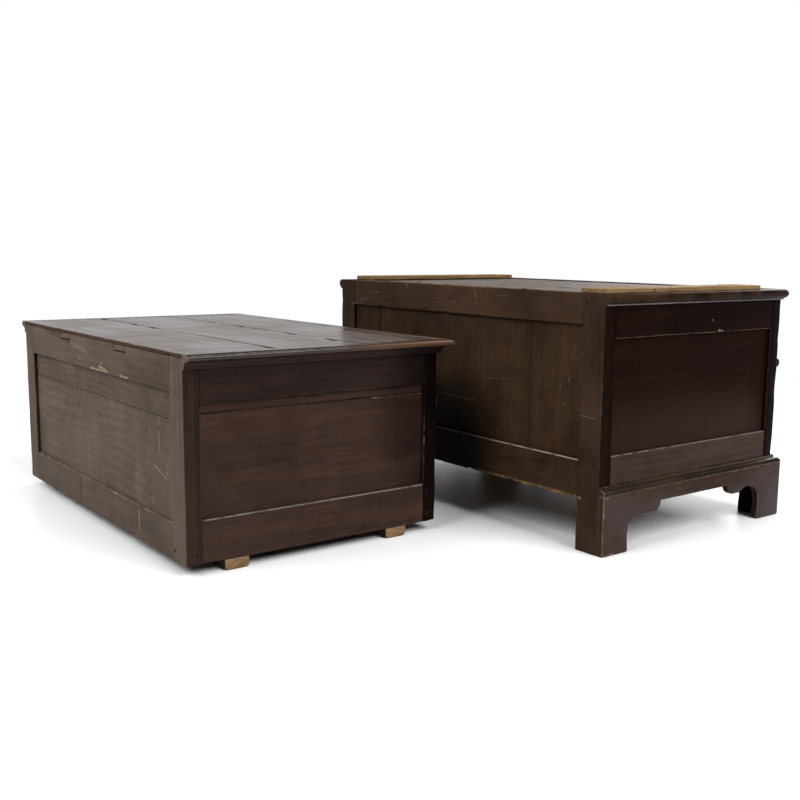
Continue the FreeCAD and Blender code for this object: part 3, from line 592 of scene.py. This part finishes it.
upperMarks = [
    # pale scratches
    paint((0.34, 0.3, 0.23), 420, 0.85, strokesOn(upperMiddle, upperBack - sink, [
        (-0.343, 0.260, -0.343, 0.221, 0.0021), (-0.343, 0.291, -0.342, 0.274, 0.0016),
        (-0.320, 0.191, -0.373, 0.173, 0.0018), (-0.376, 0.204, -0.376, 0.175, 0.0016),
        (-0.306, 0.125, -0.306, 0.108, 0.0022),
    ]) + strokesOn(upperMiddle, upperBack, [
        (0.077, 0.373, 0.074, 0.368, 0.0042), (-0.451, 0.296, -0.451, 0.288, 0.0016),
        (-0.250, 0.084, -0.250, 0.045, 0.003),
    ])),
    # torn fibres along the lower edge of the top rail
    paint((0.45, 0.36, 0.22), 170, 0.85, strokesOn(upperMiddle, upperBack, [
        (0.003, 0.3545, -0.094, 0.3545, 0.004), (-0.171, 0.3545, -0.208, 0.354, 0.004),
        (-0.046, 0.363, -0.086, 0.358, 0.004), (-0.058, 0.371, -0.066, 0.371, 0.0022),
    ])),
    # faint rubs
    paint((0.3, 0.26, 0.2), 300, 0.4, strokesOn(upperMiddle, upperBack - sink, [
        (-0.156, 0.265, -0.156, 0.242, 0.002), (-0.128, 0.234, -0.128, 0.208, 0.0022),
        (0.02, 0.235, 0.02, 0.195, 0.003), (0.0, 0.225, 0.0, 0.205, 0.0025),
        (-0.205, 0.15, -0.23, 0.16, 0.002),
    ]) + strokesOn(upperMiddle, upperBack, [(0.13, 0.398, 0.03, 0.388, 0.007)])),
    # dark holes
    paint((0.012, 0.009, 0.008), 700, 1.0, strokesOn(upperMiddle, upperBack - sink, [
        (-0.018, 0.257, -0.019, 0.249, 0.0034), (-0.281, 0.257, -0.284, 0.255, 0.004),
        (0.12, 0.264, 0.108, 0.256, 0.006), (0.25, 0.28, 0.25, 0.277, 0.003),
        (-0.262, 0.262, -0.262, 0.26, 0.002),
    ]) + strokesOn(upperMiddle, upperBack, [
        (0.255, 0.364, 0.255, 0.362, 0.003), (-0.455, 0.05, -0.456, 0.049, 0.003),
        (-0.1, 0.04, -0.1, 0.038, 0.0022),
    ])),
]
lowerMarks = [
    # grey scratches and flecks
    paint((0.15, 0.135, 0.11), 420, 0.8, strokesOn(lowerMiddle, lowerBack, [
        (-0.077, 0.527, -0.081, 0.516, 0.0036), (-0.081, 0.507, -0.081, 0.503, 0.002),
        (-0.004, 0.501, -0.004, 0.499, 0.003), (0.315, 0.511, 0.309, 0.509, 0.003),
        (0.181, 0.536, 0.180, 0.528, 0.0035), (0.107, 0.489, 0.107, 0.485, 0.0018),
        (0.430, 0.476, 0.398, 0.475, 0.0025), (-0.417, 0.415, -0.417, 0.411, 0.0018),
        (-0.416, 0.286, -0.458, 0.285, 0.0018),
    ]) + strokesOn(lowerMiddle, lowerBack - sink, [
        (0.045, 0.277, -0.079, 0.274, 0.0024), (-0.375, 0.365, -0.375, 0.351, 0.0016),
        (-0.361, 0.304, -0.363, 0.302, 0.002), (-0.29, 0.352, -0.29, 0.348, 0.0014),
        (-0.31, 0.335, -0.31, 0.333, 0.0016), (-0.35, 0.34, -0.35, 0.338, 0.0014),
    ])),
    # bare wood along the ragged edge
    paint((0.2, 0.12, 0.05), 90, 1.0, strokesOn(lowerMiddle, lowerBack, [
        (-0.425, 0.113, -0.02, 0.113, 0.0055),
    ])),
    # faint rubs
    paint((0.1, 0.08, 0.055), 300, 0.5, strokesOn(lowerMiddle, lowerBack, [
        (0.388, 0.486, 0.351, 0.493, 0.003), (-0.157, 0.520, -0.190, 0.524, 0.004),
        (0.040, 0.155, -0.017, 0.151, 0.0025),
    ]) + strokesOn(lowerMiddle, lowerBack - sink, [(-0.117, 0.331, -0.191, 0.337, 0.0025)])),
    # painted shadow low on the left, where the upper half shades the lower back
    paint((0.0015, 0.001, 0.0008), softGrit, 1.8, strokesOn(lowerMiddle, lowerBack, [
        (0.4, 0.14, 0.02, 0.14, 0.24),
    ])),
    # dark holes
    paint((0.002, 0.0015, 0.001), 700, 1.0, strokesOn(lowerMiddle, lowerBack, [
        (-0.461, 0.201, -0.461, 0.198, 0.0038), (-0.45, 0.12, -0.452, 0.118, 0.003),
    ])),
]
upperSideMarks = [
    # a pale line on the stile, and flecks
    paint((0.24, 0.2, 0.14), 60, 0.7, strokesBeside(upperSide, [
        (upperStile, 0.12, upperStile, 0.3, 0.0012), (0.2, 0.131, 0.21, 0.131, 0.0012),
        (0.247, 0.068, 0.249, 0.068, 0.0016),
    ])),
    # a brown line along the top rail
    paint((0.11, 0.068, 0.036), 60, 0.7, strokesBeside(upperSide, [(0.5, 0.3328, 0.25, 0.3328, 0.0011)])),
    # painted shade at the front end, next to the lower half
    paint((0.002, 0.001, 0.0012), softGrit, 1.7, strokesBeside(upperSide, [(0.1, 0.36, 0.1, 0.41, 0.15)])),
]
upperPanelMarks = [
    # a painted highlight along the joint, and painted shade at the front end
    paint((0.2, 0.19, 0.175), 60, 0.9, strokesBeside(upperSide + sink, [
        (0.26, panelJoint - jointGap, 0.115, panelJoint - jointGap, 0.0015),
    ])),
    paint((0.006, 0.0024, 0.002), softGrit, 1.6, strokesBeside(upperSide + sink, [
        (0.1, 0.24, 0.1, 0.42, 0.18), (0.1, 0.1, 0.1, 0.24, 0.09),
    ])),
]
lowerSideMarks = [
    # flecks, and a pale line on the stile
    paint((0.3, 0.25, 0.16), 300, 0.9, strokesBeside(lowerSide, [
        (-0.406, 0.475, -0.406, 0.473, 0.0022), (-0.428, 0.4505, -0.442, 0.45, 0.003),
        (lowerStile, 0.215, lowerStile, 0.445, 0.0012),
    ])),
]
lowerPanelMarks = [
    # painted light from the floor, paler towards the foot of the panel
    paint((0.029, 0.0145, 0.0112), softGrit, 1.3, strokesBeside(lowerSide + sink, [
        (-0.52, 0.19, -0.1, 0.19, 0.16),
    ])),
]
topMouldingMarks = [
    # a brown part near the front, and a painted highlight along the nose
    paint((0.13, 0.06, 0.027), softGrit, 1.3, strokesBeside(noseSide, [
        (0.2, 0.422, 0.06, 0.422, 0.14),
    ])),
    paint((0.22, 0.2, 0.185), 60, 0.8, strokesBeside(noseSide + noseGap, [
        (0.68, 0.428, 0.34, 0.428, 0.004),
    ])),
]
bracketMarks = [
    # bare spots at the sawn end
    paint((0.26, 0.16, 0.07), 60, 1.0, strokesBeside(bracketSide, [
        (-0.06, 0.001, -0.09, 0.001, 0.005), (-0.06, 0.124, -0.07, 0.125, 0.005),
        (-0.06, 0.09, -0.06, 0.085, 0.004),
    ])),
]
topMarks = [
    # painted shade along the joint with the moulding
    paint((0.003, 0.002, 0.002), 30, 1.2, strokesBeside(upperSide, [
        (0.67, 0.428, 0.36, 0.428, 0.005), (0.3, 0.428, 0.16, 0.428, 0.003),
    ])),
]
stripMarks = [
    # a dark hole in an end
    paint((0.004, 0.003, 0.002), 700, 1.0, strokesBeside(lowerSide, [
        (-0.205, 0.543, -0.208, 0.543, 0.0055),
    ])),
]


# the finishes of the wood

waxedLook = {
    "dark": (0.0096, 0.0042, 0.003, 1), "light": (0.0464, 0.0205, 0.0138, 1),
    "pore": (0.002, 0.0012, 0.001, 1), "pores": 0.5, "fibres": 0.38, "curl": 0.0, "sway": 0.03,
    "streaks": 0.34, "streakScale": (1.3, 24, 24), "rings": 0.2,
    "stains": 0.25, "stainScale": 7.0, "dust": (0.0464, 0.0328, 0.0288, 1), "veil": 0.2, "patch": 4.0,
    "worn": (0.13, 0.086, 0.055, 1), "wear": 0.5, "wearWidth": 0.003, "wearStart": 0.56,
    "arrisWorn": (0.2, 0.185, 0.18, 1), "arrisWear": 0.65, "arrisStart": 0.34,
    "soot": (0.003, 0.002, 0.0018, 1), "grime": 0.0, "grimeWidth": 0.01, "marks": upperSideMarks,
    "gloss": (0.34, 0.5), "shine": 0.1, "bump": 0.22,
}
panelLook = tuned(
    waxedLook, dark=(0.01171, 0.005124, 0.00366, 1), light=(0.05661, 0.02501, 0.01684, 1),
    grime=0.4, grimeWidth=0.006, wear=0.0, marks=upperPanelMarks,
)
darkLook = tuned(
    waxedLook, dark=(0.0036, 0.0012, 0.0008, 1), light=(0.015, 0.0051, 0.0029, 1),
    dust=(0.019, 0.0072, 0.0048, 1), arrisWorn=(0.2, 0.15, 0.1, 1), arrisWear=0.7, shine=0.02,
    marks=lowerSideMarks,
)
darkPanelLook = tuned(
    darkLook, dark=(0.0029, 0.0009, 0.00055, 1), light=(0.0135, 0.0043, 0.0021, 1), veil=0.06,
    grime=0.4, grimeWidth=0.006, wear=0.0, marks=lowerPanelMarks,
)
# near-black: painted shade on the side faces of the front posts, and the dark finish of the divider mouldings
darkStainAndShadeLook = tuned(
    waxedLook, dark=(0.002, 0.0011, 0.001, 1), light=(0.011, 0.0052, 0.0042, 1), veil=0.0, shine=0.02,
)
mouldingLook = tuned(
    waxedLook, dark=(0.0045, 0.0026, 0.002, 1), light=(0.02, 0.011, 0.0078, 1),
    dust=(0.09, 0.05, 0.026, 1), veil=0.16, patch=7.0,
    arrisWorn=(0.19, 0.118, 0.062, 1), arrisWear=0.75, arrisStart=0.4,
    gloss=(0.16, 0.26), shine=0.24, bump=0.1, marks=(),
)
topMouldingLook = tuned(
    mouldingLook, dark=(0.012, 0.0085, 0.0075, 1), light=(0.036, 0.027, 0.025, 1),
    dust=(0.06, 0.038, 0.028, 1), veil=0.4, patch=5.0, shine=0.2, marks=topMouldingMarks,
)
# its pale grey edges are a painted highlight along the waist moulding
darkMouldingLook = tuned(
    mouldingLook, dust=(0.07, 0.034, 0.015, 1), veil=0.45, patch=16.0, shine=0.04,
    arrisWorn=(0.2, 0.185, 0.18, 1), arrisWear=0.6, arrisStart=0.2,
)
# pale grey, a painted highlight on the fillet under the waist
filletHighlightLook = tuned(
    mouldingLook, dark=(0.11, 0.096, 0.092, 1), light=(0.2, 0.175, 0.168, 1),
    dust=(0.16, 0.132, 0.118, 1), shine=0.1,
)
bracketLook = tuned(
    waxedLook, dust=(0.057, 0.0455, 0.0455, 1), veil=0.55, arrisWorn=(0.24, 0.15, 0.07, 1),
    arrisStart=0.44, marks=bracketMarks,
)
topLook = tuned(
    waxedLook, dust=(0.1, 0.06, 0.036, 1), veil=0.3, gloss=(0.24, 0.36), wear=0.25, bump=0.05, shine=0.47,
    marks=topMarks,
)
backLook = tuned(
    waxedLook, dark=(0.0543, 0.0354, 0.0236, 1), light=(0.1534, 0.1062, 0.0708, 1),
    pore=(0.02, 0.013, 0.009, 1), dust=(0.14, 0.11, 0.088, 1), veil=0.5, patch=3.4,
    worn=(0.26, 0.21, 0.155, 1), wear=0.45, wearWidth=0.0035,
    arrisWorn=(0.26, 0.225, 0.17, 1), arrisStart=0.47,
    streaks=0.4, streakScale=(1.8, 13, 13), rings=0.25, fibres=0.25, stains=0.36, stainScale=6.0, sway=0.06,
    gloss=(0.6, 0.8), shine=0.12, bump=0.35, marks=upperMarks,
)
curlyLook = tuned(
    backLook, curl=0.55, streaks=0.3, dark=(0.036, 0.024, 0.016, 1), light=(0.104, 0.074, 0.051, 1),
    dust=(0.084, 0.07, 0.056, 1), veil=0.4,
)
oliveLook = tuned(
    backLook, dark=(0.0122, 0.006, 0.0028, 1), light=(0.056, 0.0275, 0.0112, 1),
    pore=(0.006, 0.004, 0.003, 1), dust=(0.048, 0.029, 0.0155, 1), veil=0.3,
    worn=(0.13, 0.085, 0.05, 1), arrisWorn=(0.42, 0.37, 0.3, 1), arrisStart=0.34,
    streaks=0.34, streakScale=(2.2, 15, 15), rings=0.12, fibres=0.34, stains=0.5,
    soot=(0.002, 0.0014, 0.001, 1), grime=0.2, grimeWidth=0.012, shine=0.08, marks=lowerMarks,
)
railLook = tuned(oliveLook, dust=(0.072, 0.042, 0.027, 1), veil=0.5, grime=0.0)
pegLook = tuned(railLook, arrisWear=0.1, marks=())
lowerTopLook = tuned(oliveLook, gloss=(0.4, 0.55), shine=0.16, bump=0.2, marks=())
rawLook = tuned(
    backLook, dark=(0.06, 0.035, 0.018, 1), light=(0.2, 0.125, 0.065, 1),
    dust=(0.16, 0.12, 0.08, 1), veil=0.25, marks=(),
)
pineLook = tuned(
    rawLook, dark=(0.125, 0.069, 0.026, 1), light=(0.265, 0.166, 0.072, 1),
    pore=(0.08, 0.046, 0.019, 1), dust=(0.22, 0.155, 0.078, 1), worn=(0.4, 0.29, 0.16, 1),
    rings=0.4, streaks=0.4, fibres=0.2, stains=0.15, marks=stripMarks,
)
waxedOak = makeOak("waxedOak", waxedLook)
panelOak = makeOak("panelOak", panelLook)
darkOak = makeOak("darkOak", darkLook)
darkPanelOak = makeOak("darkPanelOak", darkPanelLook)
darkStainAndShadeOak = makeOak("darkStainAndShadeOak", darkStainAndShadeLook)
mouldedOak = makeOak("mouldedOak", mouldingLook)
topMouldedOak = makeOak("topMouldedOak", topMouldingLook)
darkMouldedOak = makeOak("darkMouldedOak", darkMouldingLook)
filletHighlightOak = makeOak("filletHighlightOak", filletHighlightLook)
bracketOak = makeOak("bracketOak", bracketLook)
topOak = makeOak("topOak", topLook)
backOak = makeOak("backOak", backLook)
curlyOak = makeOak("curlyOak", curlyLook)
oliveOak = makeOak("oliveOak", oliveLook)
railOak = makeOak("railOak", railLook)
pegOak = makeOak("pegOak", pegLook)
lowerTopOak = makeOak("lowerTopOak", lowerTopLook)
rawOak = makeOak("rawOak", rawLook)
palePine = makeOak("palePine", pineLook)
print("materials made")


# the two frames: posts, rails, panels and back boards

carcass = {
    "edge": 0.0016, "wear": 0.0022, "spacing": 0.02, "tone": (0.85, 1.15),
    "chamfer": {"upper": (0.0024, None), "lower": (0.0014, 0.001)},    # bottom rail, top rail
    "backChamfer": {"upper": 0.0024, "lower": 0.0016},
    # bottom rails toned lighter as painted light from the floor, top rails darker as painted shade under the
    # moulding
    "railLightAndShadeTones": {"upper": ((1.25, 1.3), (0.46, 0.52)), "lower": ((1.1, 1.15), (0.62, 0.68))},
    "grooves": (0.0045, 0.0095), "grooveWidth": 0.0028, "grooveDepth": 0.0013,
    "tuck": 0.003,
}
panels = tuned(carcass, wear=0.0016, backTones=(1.15, 0.9, 0.8))
railStyle = tuned(
    carcass, spacing=0.007, crack=0.003, crackShift=0.1, crackedTones=(0.64, 0.6), raggedTones=(0.85,),
    tornLow=("low", 0.008, 40, 0.1), tornHigh=("high", 0.006, 30, 0.35),    # edge, depth, scale and calm
)
postStyle = tuned(carcass, tone=(0.72, 0.76))
stripStyle = tuned(panels, tone=(0.96, 1.06))
topStyle = tuned(carcass, wear=0.0034, edge=0.0022, gap=0.0014, backEdge=0.01)


def makePosts(half, end, material, sides):
    spots = frameBoxes[half]
    node = f"{half}_{end}_posts"
    boards = []
    for index, box in enumerate(solidBoxes(node)):
        outer = spots["left"] if index == 0 else spots["right"]
        inner = spots["innerFront"] if end == "front" else spots["innerBack"]
        inward = -1 if end == "front" else 1
        grooves = [
            (alongX, outer, alongY, inner + inward * gap, carcass["grooveWidth"], carcass["grooveDepth"])
            for gap in carcass["grooves"]
        ]
        boards.append(makeBoard(box, alongZ, postStyle, f"{node}{index}", grooves=grooves))
    seat(joinAs(node, boards), node, material, sides, facesSideways)


def makeSideRails(half, material):
    spots = frameBoxes[half]
    node = f"{half}_side_rails"
    boards = []
    for index, box in enumerate(solidBoxes(node)):
        box = clipped(box, alongY, spots["innerFront"], spots["innerBack"])
        low, high = box
        outer = low.x if low.x < spots["middle"] else high.x
        isTop = high.z > spots["head"] - carcass["tuck"]
        edge = low.z if isTop else high.z
        width = carcass["chamfer"][half][int(isTop)]
        chamfers = [({alongX: outer, alongZ: edge}, width)] if width else ()
        toned = tuned(carcass, tone=carcass["railLightAndShadeTones"][half][int(isTop)])
        boards.append(makeBoard(box, alongY, toned, f"{node}{index}", chamfers))
    middle = (spots["foot"] + spots["head"]) / 2
    # the bottom rails take the waxed finish, on the dark lower half a paler painted light from the floor
    seat(joinAs(node, boards), node, material, waxedOak, lambda face: face.center.z < middle)


def makeBoards(node, axis, material, style, limits=(), split=None, ragged=None, chamfer=None, tones=(),
               gap=0.0, second=None, rule=None):
    # split gives the place of a crack across the board, ragged gives a torn edge
    beyond = 9    # past any board
    boards = []
    boxes = solidBoxes(node)
    ends = min(box[0].y for box in boxes), max(box[1].y for box in boxes)
    for index, box in enumerate(boxes):
        for limit in limits:
            box = clipped(box, *limit)
        creases = ()
        if gap:
            sides = [box[0].y + gap * (box[0].y > ends[0]), box[1].y - gap * (box[1].y < ends[1])]
            box = clipped(box, alongY, *sides)
            creases = [(alongY, side) for side in sides if side not in ends]
        pieces = [box]
        if split is not None:
            crack = style["crack"] / 2
            pieces = [clipped(box, axis, -beyond, split - crack), clipped(box, axis, split + crack, beyond)]
        for part, place in enumerate(pieces):
            chamfers = [({alongY: place[1].y, alongZ: place[1].z}, chamfer)] if chamfer else ()
            toned = tuned(style, tone=(tones[index + part],) * 2) if tones else style
            board = makeBoard(place, axis, toned, f"{node}{index}{part}", chamfers, creases=creases)
            if ragged:
                raggedEdge(board, place[0].z if ragged[0] == "low" else place[1].z, ragged[1:])
            boards.append(board)
    seat(joinAs(node, boards), node, material, second, rule)


for half in ("upper", "lower"):
    spots = frameBoxes[half]
    isUpper = half == "upper"
    stained = waxedOak if isUpper else darkOak
    # the side faces of the front posts are near-black as painted shade
    makePosts(half, "front", stained, darkStainAndShadeOak)
    makePosts(half, "back", backOak if isUpper else railOak, stained)
    makeSideRails(half, stained)
    acrossLimit = (alongX, spots["innerLeft"], spots["innerRight"])
    sideLimit = (alongY, spots["innerFront"] - carcass["tuck"], spots["innerBack"] + carcass["tuck"])
    chamfer = carcass["backChamfer"][half]
    makeBoards(f"{half}_side_panels", alongY, panelOak if isUpper else darkPanelOak, panels, [sideLimit])
    makeBoards(f"{half}_front_rails", alongX, stained, carcass, [acrossLimit])
    makeBoards(f"{half}_drawer_runners", alongY, rawOak, panels)
    if isUpper:
        makeBoards("upper_back_bottom_rail", alongX, backOak, railStyle, [acrossLimit], chamfer=chamfer,
                   split=spots["middle"] + railStyle["crackShift"], tones=railStyle["crackedTones"])
        joint = solidBoxes("upper_back_boards")[0][1].z    # the upper board shows a curly figure
        makeBoards("upper_back_boards", alongX, backOak, panels,
                   second=curlyOak, rule=lambda face: face.center.z > joint)
    else:
        makeBoards("lower_back_bottom_rail", alongX, railOak, railStyle, [acrossLimit], chamfer=chamfer,
                   ragged=railStyle["tornLow"], tones=railStyle["raggedTones"])
        makeBoards("lower_back_top_rail", alongX, railOak, railStyle, [acrossLimit],
                   ragged=railStyle["tornHigh"])
        # the lower back boards darken towards the upper half as painted shade
        makeBoards("lower_back_boards", alongZ, oliveOak, panels, tones=panels["backTones"])
    print(half, "frame made")


def isBackEdge(face):
    return facesBack(face) and face.center.y > frameBoxes["upper"]["back"] - topStyle["backEdge"]


makeBoards("upper_top_boards", alongX, topOak, topStyle, gap=topStyle["gap"],
           second=railOak, rule=isBackEdge)    # the back edge is bare
makeBoards("upper_muntin", alongZ, waxedOak, carcass)
makeBoards("upper_partition", alongY, rawOak, panels)
makeBoards("lower_top_boards", alongX, lowerTopOak, panels)
makeBoards("lower_top_strips", alongY, palePine, stripStyle)
print("tops, muntin, partition and strips made")


# mouldings and bracket feet keep the CAD outline

mouldings = {
    "edge": 0.0012, "smooth": 32, "coveHeight": 0.0155, "filletHeight": 0.0031,
    "bracketEdge": 0.0018, "blockEdge": 0.0025, "pegEdge": 0.0004, "pegShade": 0.2,
}


def makeCornerMouldings(node, half, material, second, under=None):
    spots = frameBoxes[half]
    corners = [Vector((spots["left"], spots["front"], 0)), Vector((spots["right"], spots["front"], 0))]
    outward = [Vector((-1, 1, 0)), Vector((1, 1, 0))]    # from the front run towards the two side runs
    runs = []
    for index, axis in enumerate((alongY, alongX, alongY)):
        run = copyNode(node)
        if axis == alongX:
            for corner, normal in zip(corners, outward):
                cutAway(run, corner, normal)
        else:
            side = index // 2
            cutAway(run, corners[side], -outward[side])
        roundEdges(run, mouldings["edge"])
        grainOnShape(run, axis, f"{node}{index}", mouldings["edge"])
        runs.append(run)
    piece = joinAs(node, runs)
    smoothBy(piece, mouldings["smooth"])
    seat(piece, node, material, second, facesBack)
    if under:    # a material for the lowest part
        piece.data.materials.append(under[0])
        limit = min(vertex.co.z for vertex in piece.data.vertices) + under[1]
        for face in piece.data.polygons:
            if face.material_index == 0 and face.center.z < limit:
                face.material_index = 2


def makeShape(node, axis, material, edge=mouldings["edge"], smooth=mouldings["smooth"],
              second=None, rule=None, toneAt=None):
    piece = copyNode(node)
    roundEdges(piece, edge)
    grainOnShape(piece, axis, node, edge, toneAt=toneAt)
    joinAs(node, [piece])
    smoothBy(piece, smooth)
    seat(piece, node, material, second, rule)


# the sawn ends are bare, the cove under the top takes the waxed finish of the sides, and the pale grey fillet
# under the waist is a painted highlight
cove, fillet = (waxedOak, mouldings["coveHeight"]), (filletHighlightOak, mouldings["filletHeight"])
makeCornerMouldings("upper_top_moulding", "upper", topMouldedOak, backOak, cove)
makeCornerMouldings("lower_waist_moulding", "lower", darkMouldedOak, railOak, fillet)
makeCornerMouldings("lower_base_moulding", "lower", mouldedOak, railOak)
for half in ("upper", "lower"):
    makeShape(f"{half}_divider_moulding", alongX, darkStainAndShadeOak)
for side in ("left", "right"):
    makeShape(f"lower_{side}_bracket", alongY, bracketOak, mouldings["bracketEdge"],
              second=railOak, rule=facesBack)
makeShape("lower_front_bracket", alongX, bracketOak, mouldings["bracketEdge"])
# the long sides of the blocks take the dark olive finish as painted shade under the upper half, and the sawn
# ends stay pale
makeShape("upper_blocks", alongX, oliveOak, mouldings["blockEdge"],
          second=palePine, rule=facesSideways)    # pale sawn ends


def pegTone(half):
    spots = frameBoxes[half]
    middle = (spots["front"] + spots["back"]) / 2
    # pegs in the front posts are darkened to match the painted shade on their side faces
    return lambda spot: postStyle["tone"][1] if spot.y > middle else mouldings["pegShade"]


for half, backFinish, sideFinish in (("upper", backOak, waxedOak), ("lower", pegOak, darkOak)):
    makeShape(f"{half}_pegs", alongZ, backFinish, mouldings["pegEdge"],
              second=sideFinish, rule=facesSideways, toneAt=pegTone(half))
print("mouldings, brackets, blocks and pegs made")


# the notched back rail of the upper half, with the ends of the two battens in it

battens = {"gap": 0.003, "edge": 0.0008, "railTone": 0.68}


def makeBattens():
    makeShape("upper_back_top_rail", alongX, backOak, battens["edge"],
              toneAt=lambda spot: battens["railTone"])
    boards = []
    for index, (low, high) in enumerate(solidBoxes("upper_top_battens")):
        low += Vector((battens["gap"], 0, battens["gap"]))
        high -= Vector((battens["gap"], 0, 0))
        boards.append(makeBoard((low, high), alongY, panels, f"batten{index}"))
    seat(joinAs("upper_top_battens", boards), "upper_top_battens", backOak)


makeBattens()
print("back rail and battens made")


# drawers

drawers = {
    "names": ("upper_left", "upper_right", "upper_long", "lower_shallow", "lower_deep"),
    "knobEdge": 0.0008, "knobSmooth": 40,
}
for drawerName in drawers["names"]:
    node = drawerName + "_drawer"
    makeShape(f"{node}_front", alongX, waxedOak)
    makeShape(f"{node}_knobs", alongY, mouldedOak, drawers["knobEdge"], drawers["knobSmooth"])
    makeShape(f"{node}_sides", alongY, rawOak)
    makeShape(f"{node}_back", alongX, rawOak)
    makeShape(f"{node}_bottom", alongX, rawOak)
print("drawers made")


# floor, light and camera

stage = {
    "floor": 0.45, "seenFloor": 1.0, "sheen": 0.2, "sheenBlur": 0.3, "fadeStart": 1.3, "fadeEnd": 2.6,
    "size": 60, "drop": 0.0004, "white": (1, 1, 1, 1), "ambient": 0.13,
    "dimSide": (-0.6, -0.8, 0.0), "dimSpan": (0.2, 1.0), "dim": 0.2,    # dim on the right of the camera
}


def makeFloor():
    bpy.ops.object.select_all(action="DESELECT")
    bpy.ops.mesh.primitive_plane_add(size=stage["size"], location=(0, 0, -stage["drop"]))
    floor = bpy.context.object
    floor.name = "floor"
    material = bpy.data.materials.new("paleFloor")
    material.use_nodes = True
    tree = material.node_tree
    tree.nodes.clear()
    plain = addNode(tree, "BsdfDiffuse", {"Color": (stage["floor"],) * 3 + (1,)}).outputs[0]
    bright = addNode(tree, "BsdfDiffuse", {"Color": (stage["seenFloor"],) * 3 + (1,)}).outputs[0]
    sheen = addNode(tree, "BsdfGlossy", {"Color": stage["white"], "Roughness": stage["sheenBlur"]}).outputs[0]
    bright = addNode(tree, "MixShader", {0: stage["sheen"], 1: bright, 2: sheen}).outputs[0]
    white = addNode(tree, "Emission", {"Color": stage["white"], "Strength": 1.0}).outputs[0]
    place = addNode(tree, "TexCoord", {}).outputs["Object"]
    away = addNode(tree, "VectorMath", {0: place}, operation="LENGTH").outputs["Value"]
    fade = rampOf(tree, away, stage["fadeStart"], stage["fadeEnd"])
    seen = addNode(tree, "MixShader", {0: fade, 1: bright, 2: white}).outputs[0]
    mixed = addNode(tree, "MixShader", {0: seenRays(tree), 1: plain, 2: seen}).outputs[0]
    output = tree.nodes.new("ShaderNodeOutputMaterial")
    tree.links.new(mixed, output.inputs["Surface"])
    floor.data.materials.append(material)


def seenRays(tree):
    rays = addNode(tree, "LightPath", {}).outputs
    seen = mathOf(tree, "MAXIMUM", rays["Is Camera Ray"], rays["Is Glossy Ray"])
    return mathOf(tree, "MAXIMUM", seen, rays["Is Transmission Ray"])


def makeWorld():
    world = bpy.data.worlds.new("studio")
    bpy.context.scene.world = world
    world.use_nodes = True
    tree = world.node_tree
    tree.nodes.clear()
    rays = addNode(tree, "LightPath", {}).outputs
    way = addNode(tree, "TexCoord", {}).outputs["Generated"]
    ways = {0: way, 1: stage["dimSide"]}
    toDim = addNode(tree, "VectorMath", ways, operation="DOT_PRODUCT").outputs["Value"]
    room = rampOf(tree, toDim, *stage["dimSpan"], 1.0, stage["dim"])
    level = mathOf(tree, "MAXIMUM", rays["Is Glossy Ray"], stage["ambient"])
    light = addNode(tree, "Background", {"Strength": mathOf(tree, "MULTIPLY", room, level)}).outputs[0]
    white = addNode(tree, "Background", {"Color": stage["white"], "Strength": 1.0}).outputs[0]
    mixed = addNode(tree, "MixShader", {0: rays["Is Camera Ray"], 1: light, 2: white}).outputs[0]
    output = tree.nodes.new("ShaderNodeOutputWorld")
    tree.links.new(mixed, output.inputs["Surface"])


lampAim = Vector((0, 0, 0.2))
lamps = {
    "key": {"spot": (-6.4, -0.8, 6.0), "size": 5.0, "power": 800},
    "back": {"spot": (-0.4, 6.4, 6.6), "size": 5.0, "power": 640},
    "front": {"spot": (2.4, -6.8, 5.0), "size": 5.0, "power": 320},
    "right": {"spot": (6.5, 2.5, 5.0), "size": 5.0, "power": 140},
}


def makeLamps():
    for name, lamp in lamps.items():
        spot = Vector(lamp["spot"])
        turn = (lampAim - spot).to_track_quat("-Z", "Y").to_euler()
        bpy.ops.object.light_add(type="AREA", location=spot, rotation=turn)
        light = bpy.context.object
        light.name = name
        light.data.size = lamp["size"]
        light.data.energy = lamp["power"]


shot = {
    "spot": (-2.0215, 1.4655, 0.6245), "heading": -36.694, "dip": 8.584, "roll": -0.557,
    "lens": 45.394, "sensor": 36,
}


def makeCamera():
    heading, dip, roll = (math.radians(shot[name]) for name in ("heading", "dip", "roll"))
    ahead = Vector((math.cos(heading) * math.cos(dip), math.sin(heading) * math.cos(dip), -math.sin(dip)))
    right = Vector((math.sin(heading), -math.cos(heading), 0))
    up = right.cross(ahead)
    rolledRight = right * math.cos(roll) - up * math.sin(roll)
    rolledUp = right * math.sin(roll) + up * math.cos(roll)
    turn = Matrix((rolledRight, rolledUp, -ahead)).transposed().to_euler()
    bpy.ops.object.camera_add(location=shot["spot"], rotation=turn)
    camera = bpy.context.object
    camera.data.sensor_width = shot["sensor"]
    camera.data.lens = shot["lens"]
    bpy.context.scene.camera = camera


makeFloor()
makeWorld()
makeLamps()
makeCamera()
bpy.context.scene.view_settings.view_transform = "Standard"
print("stage set")
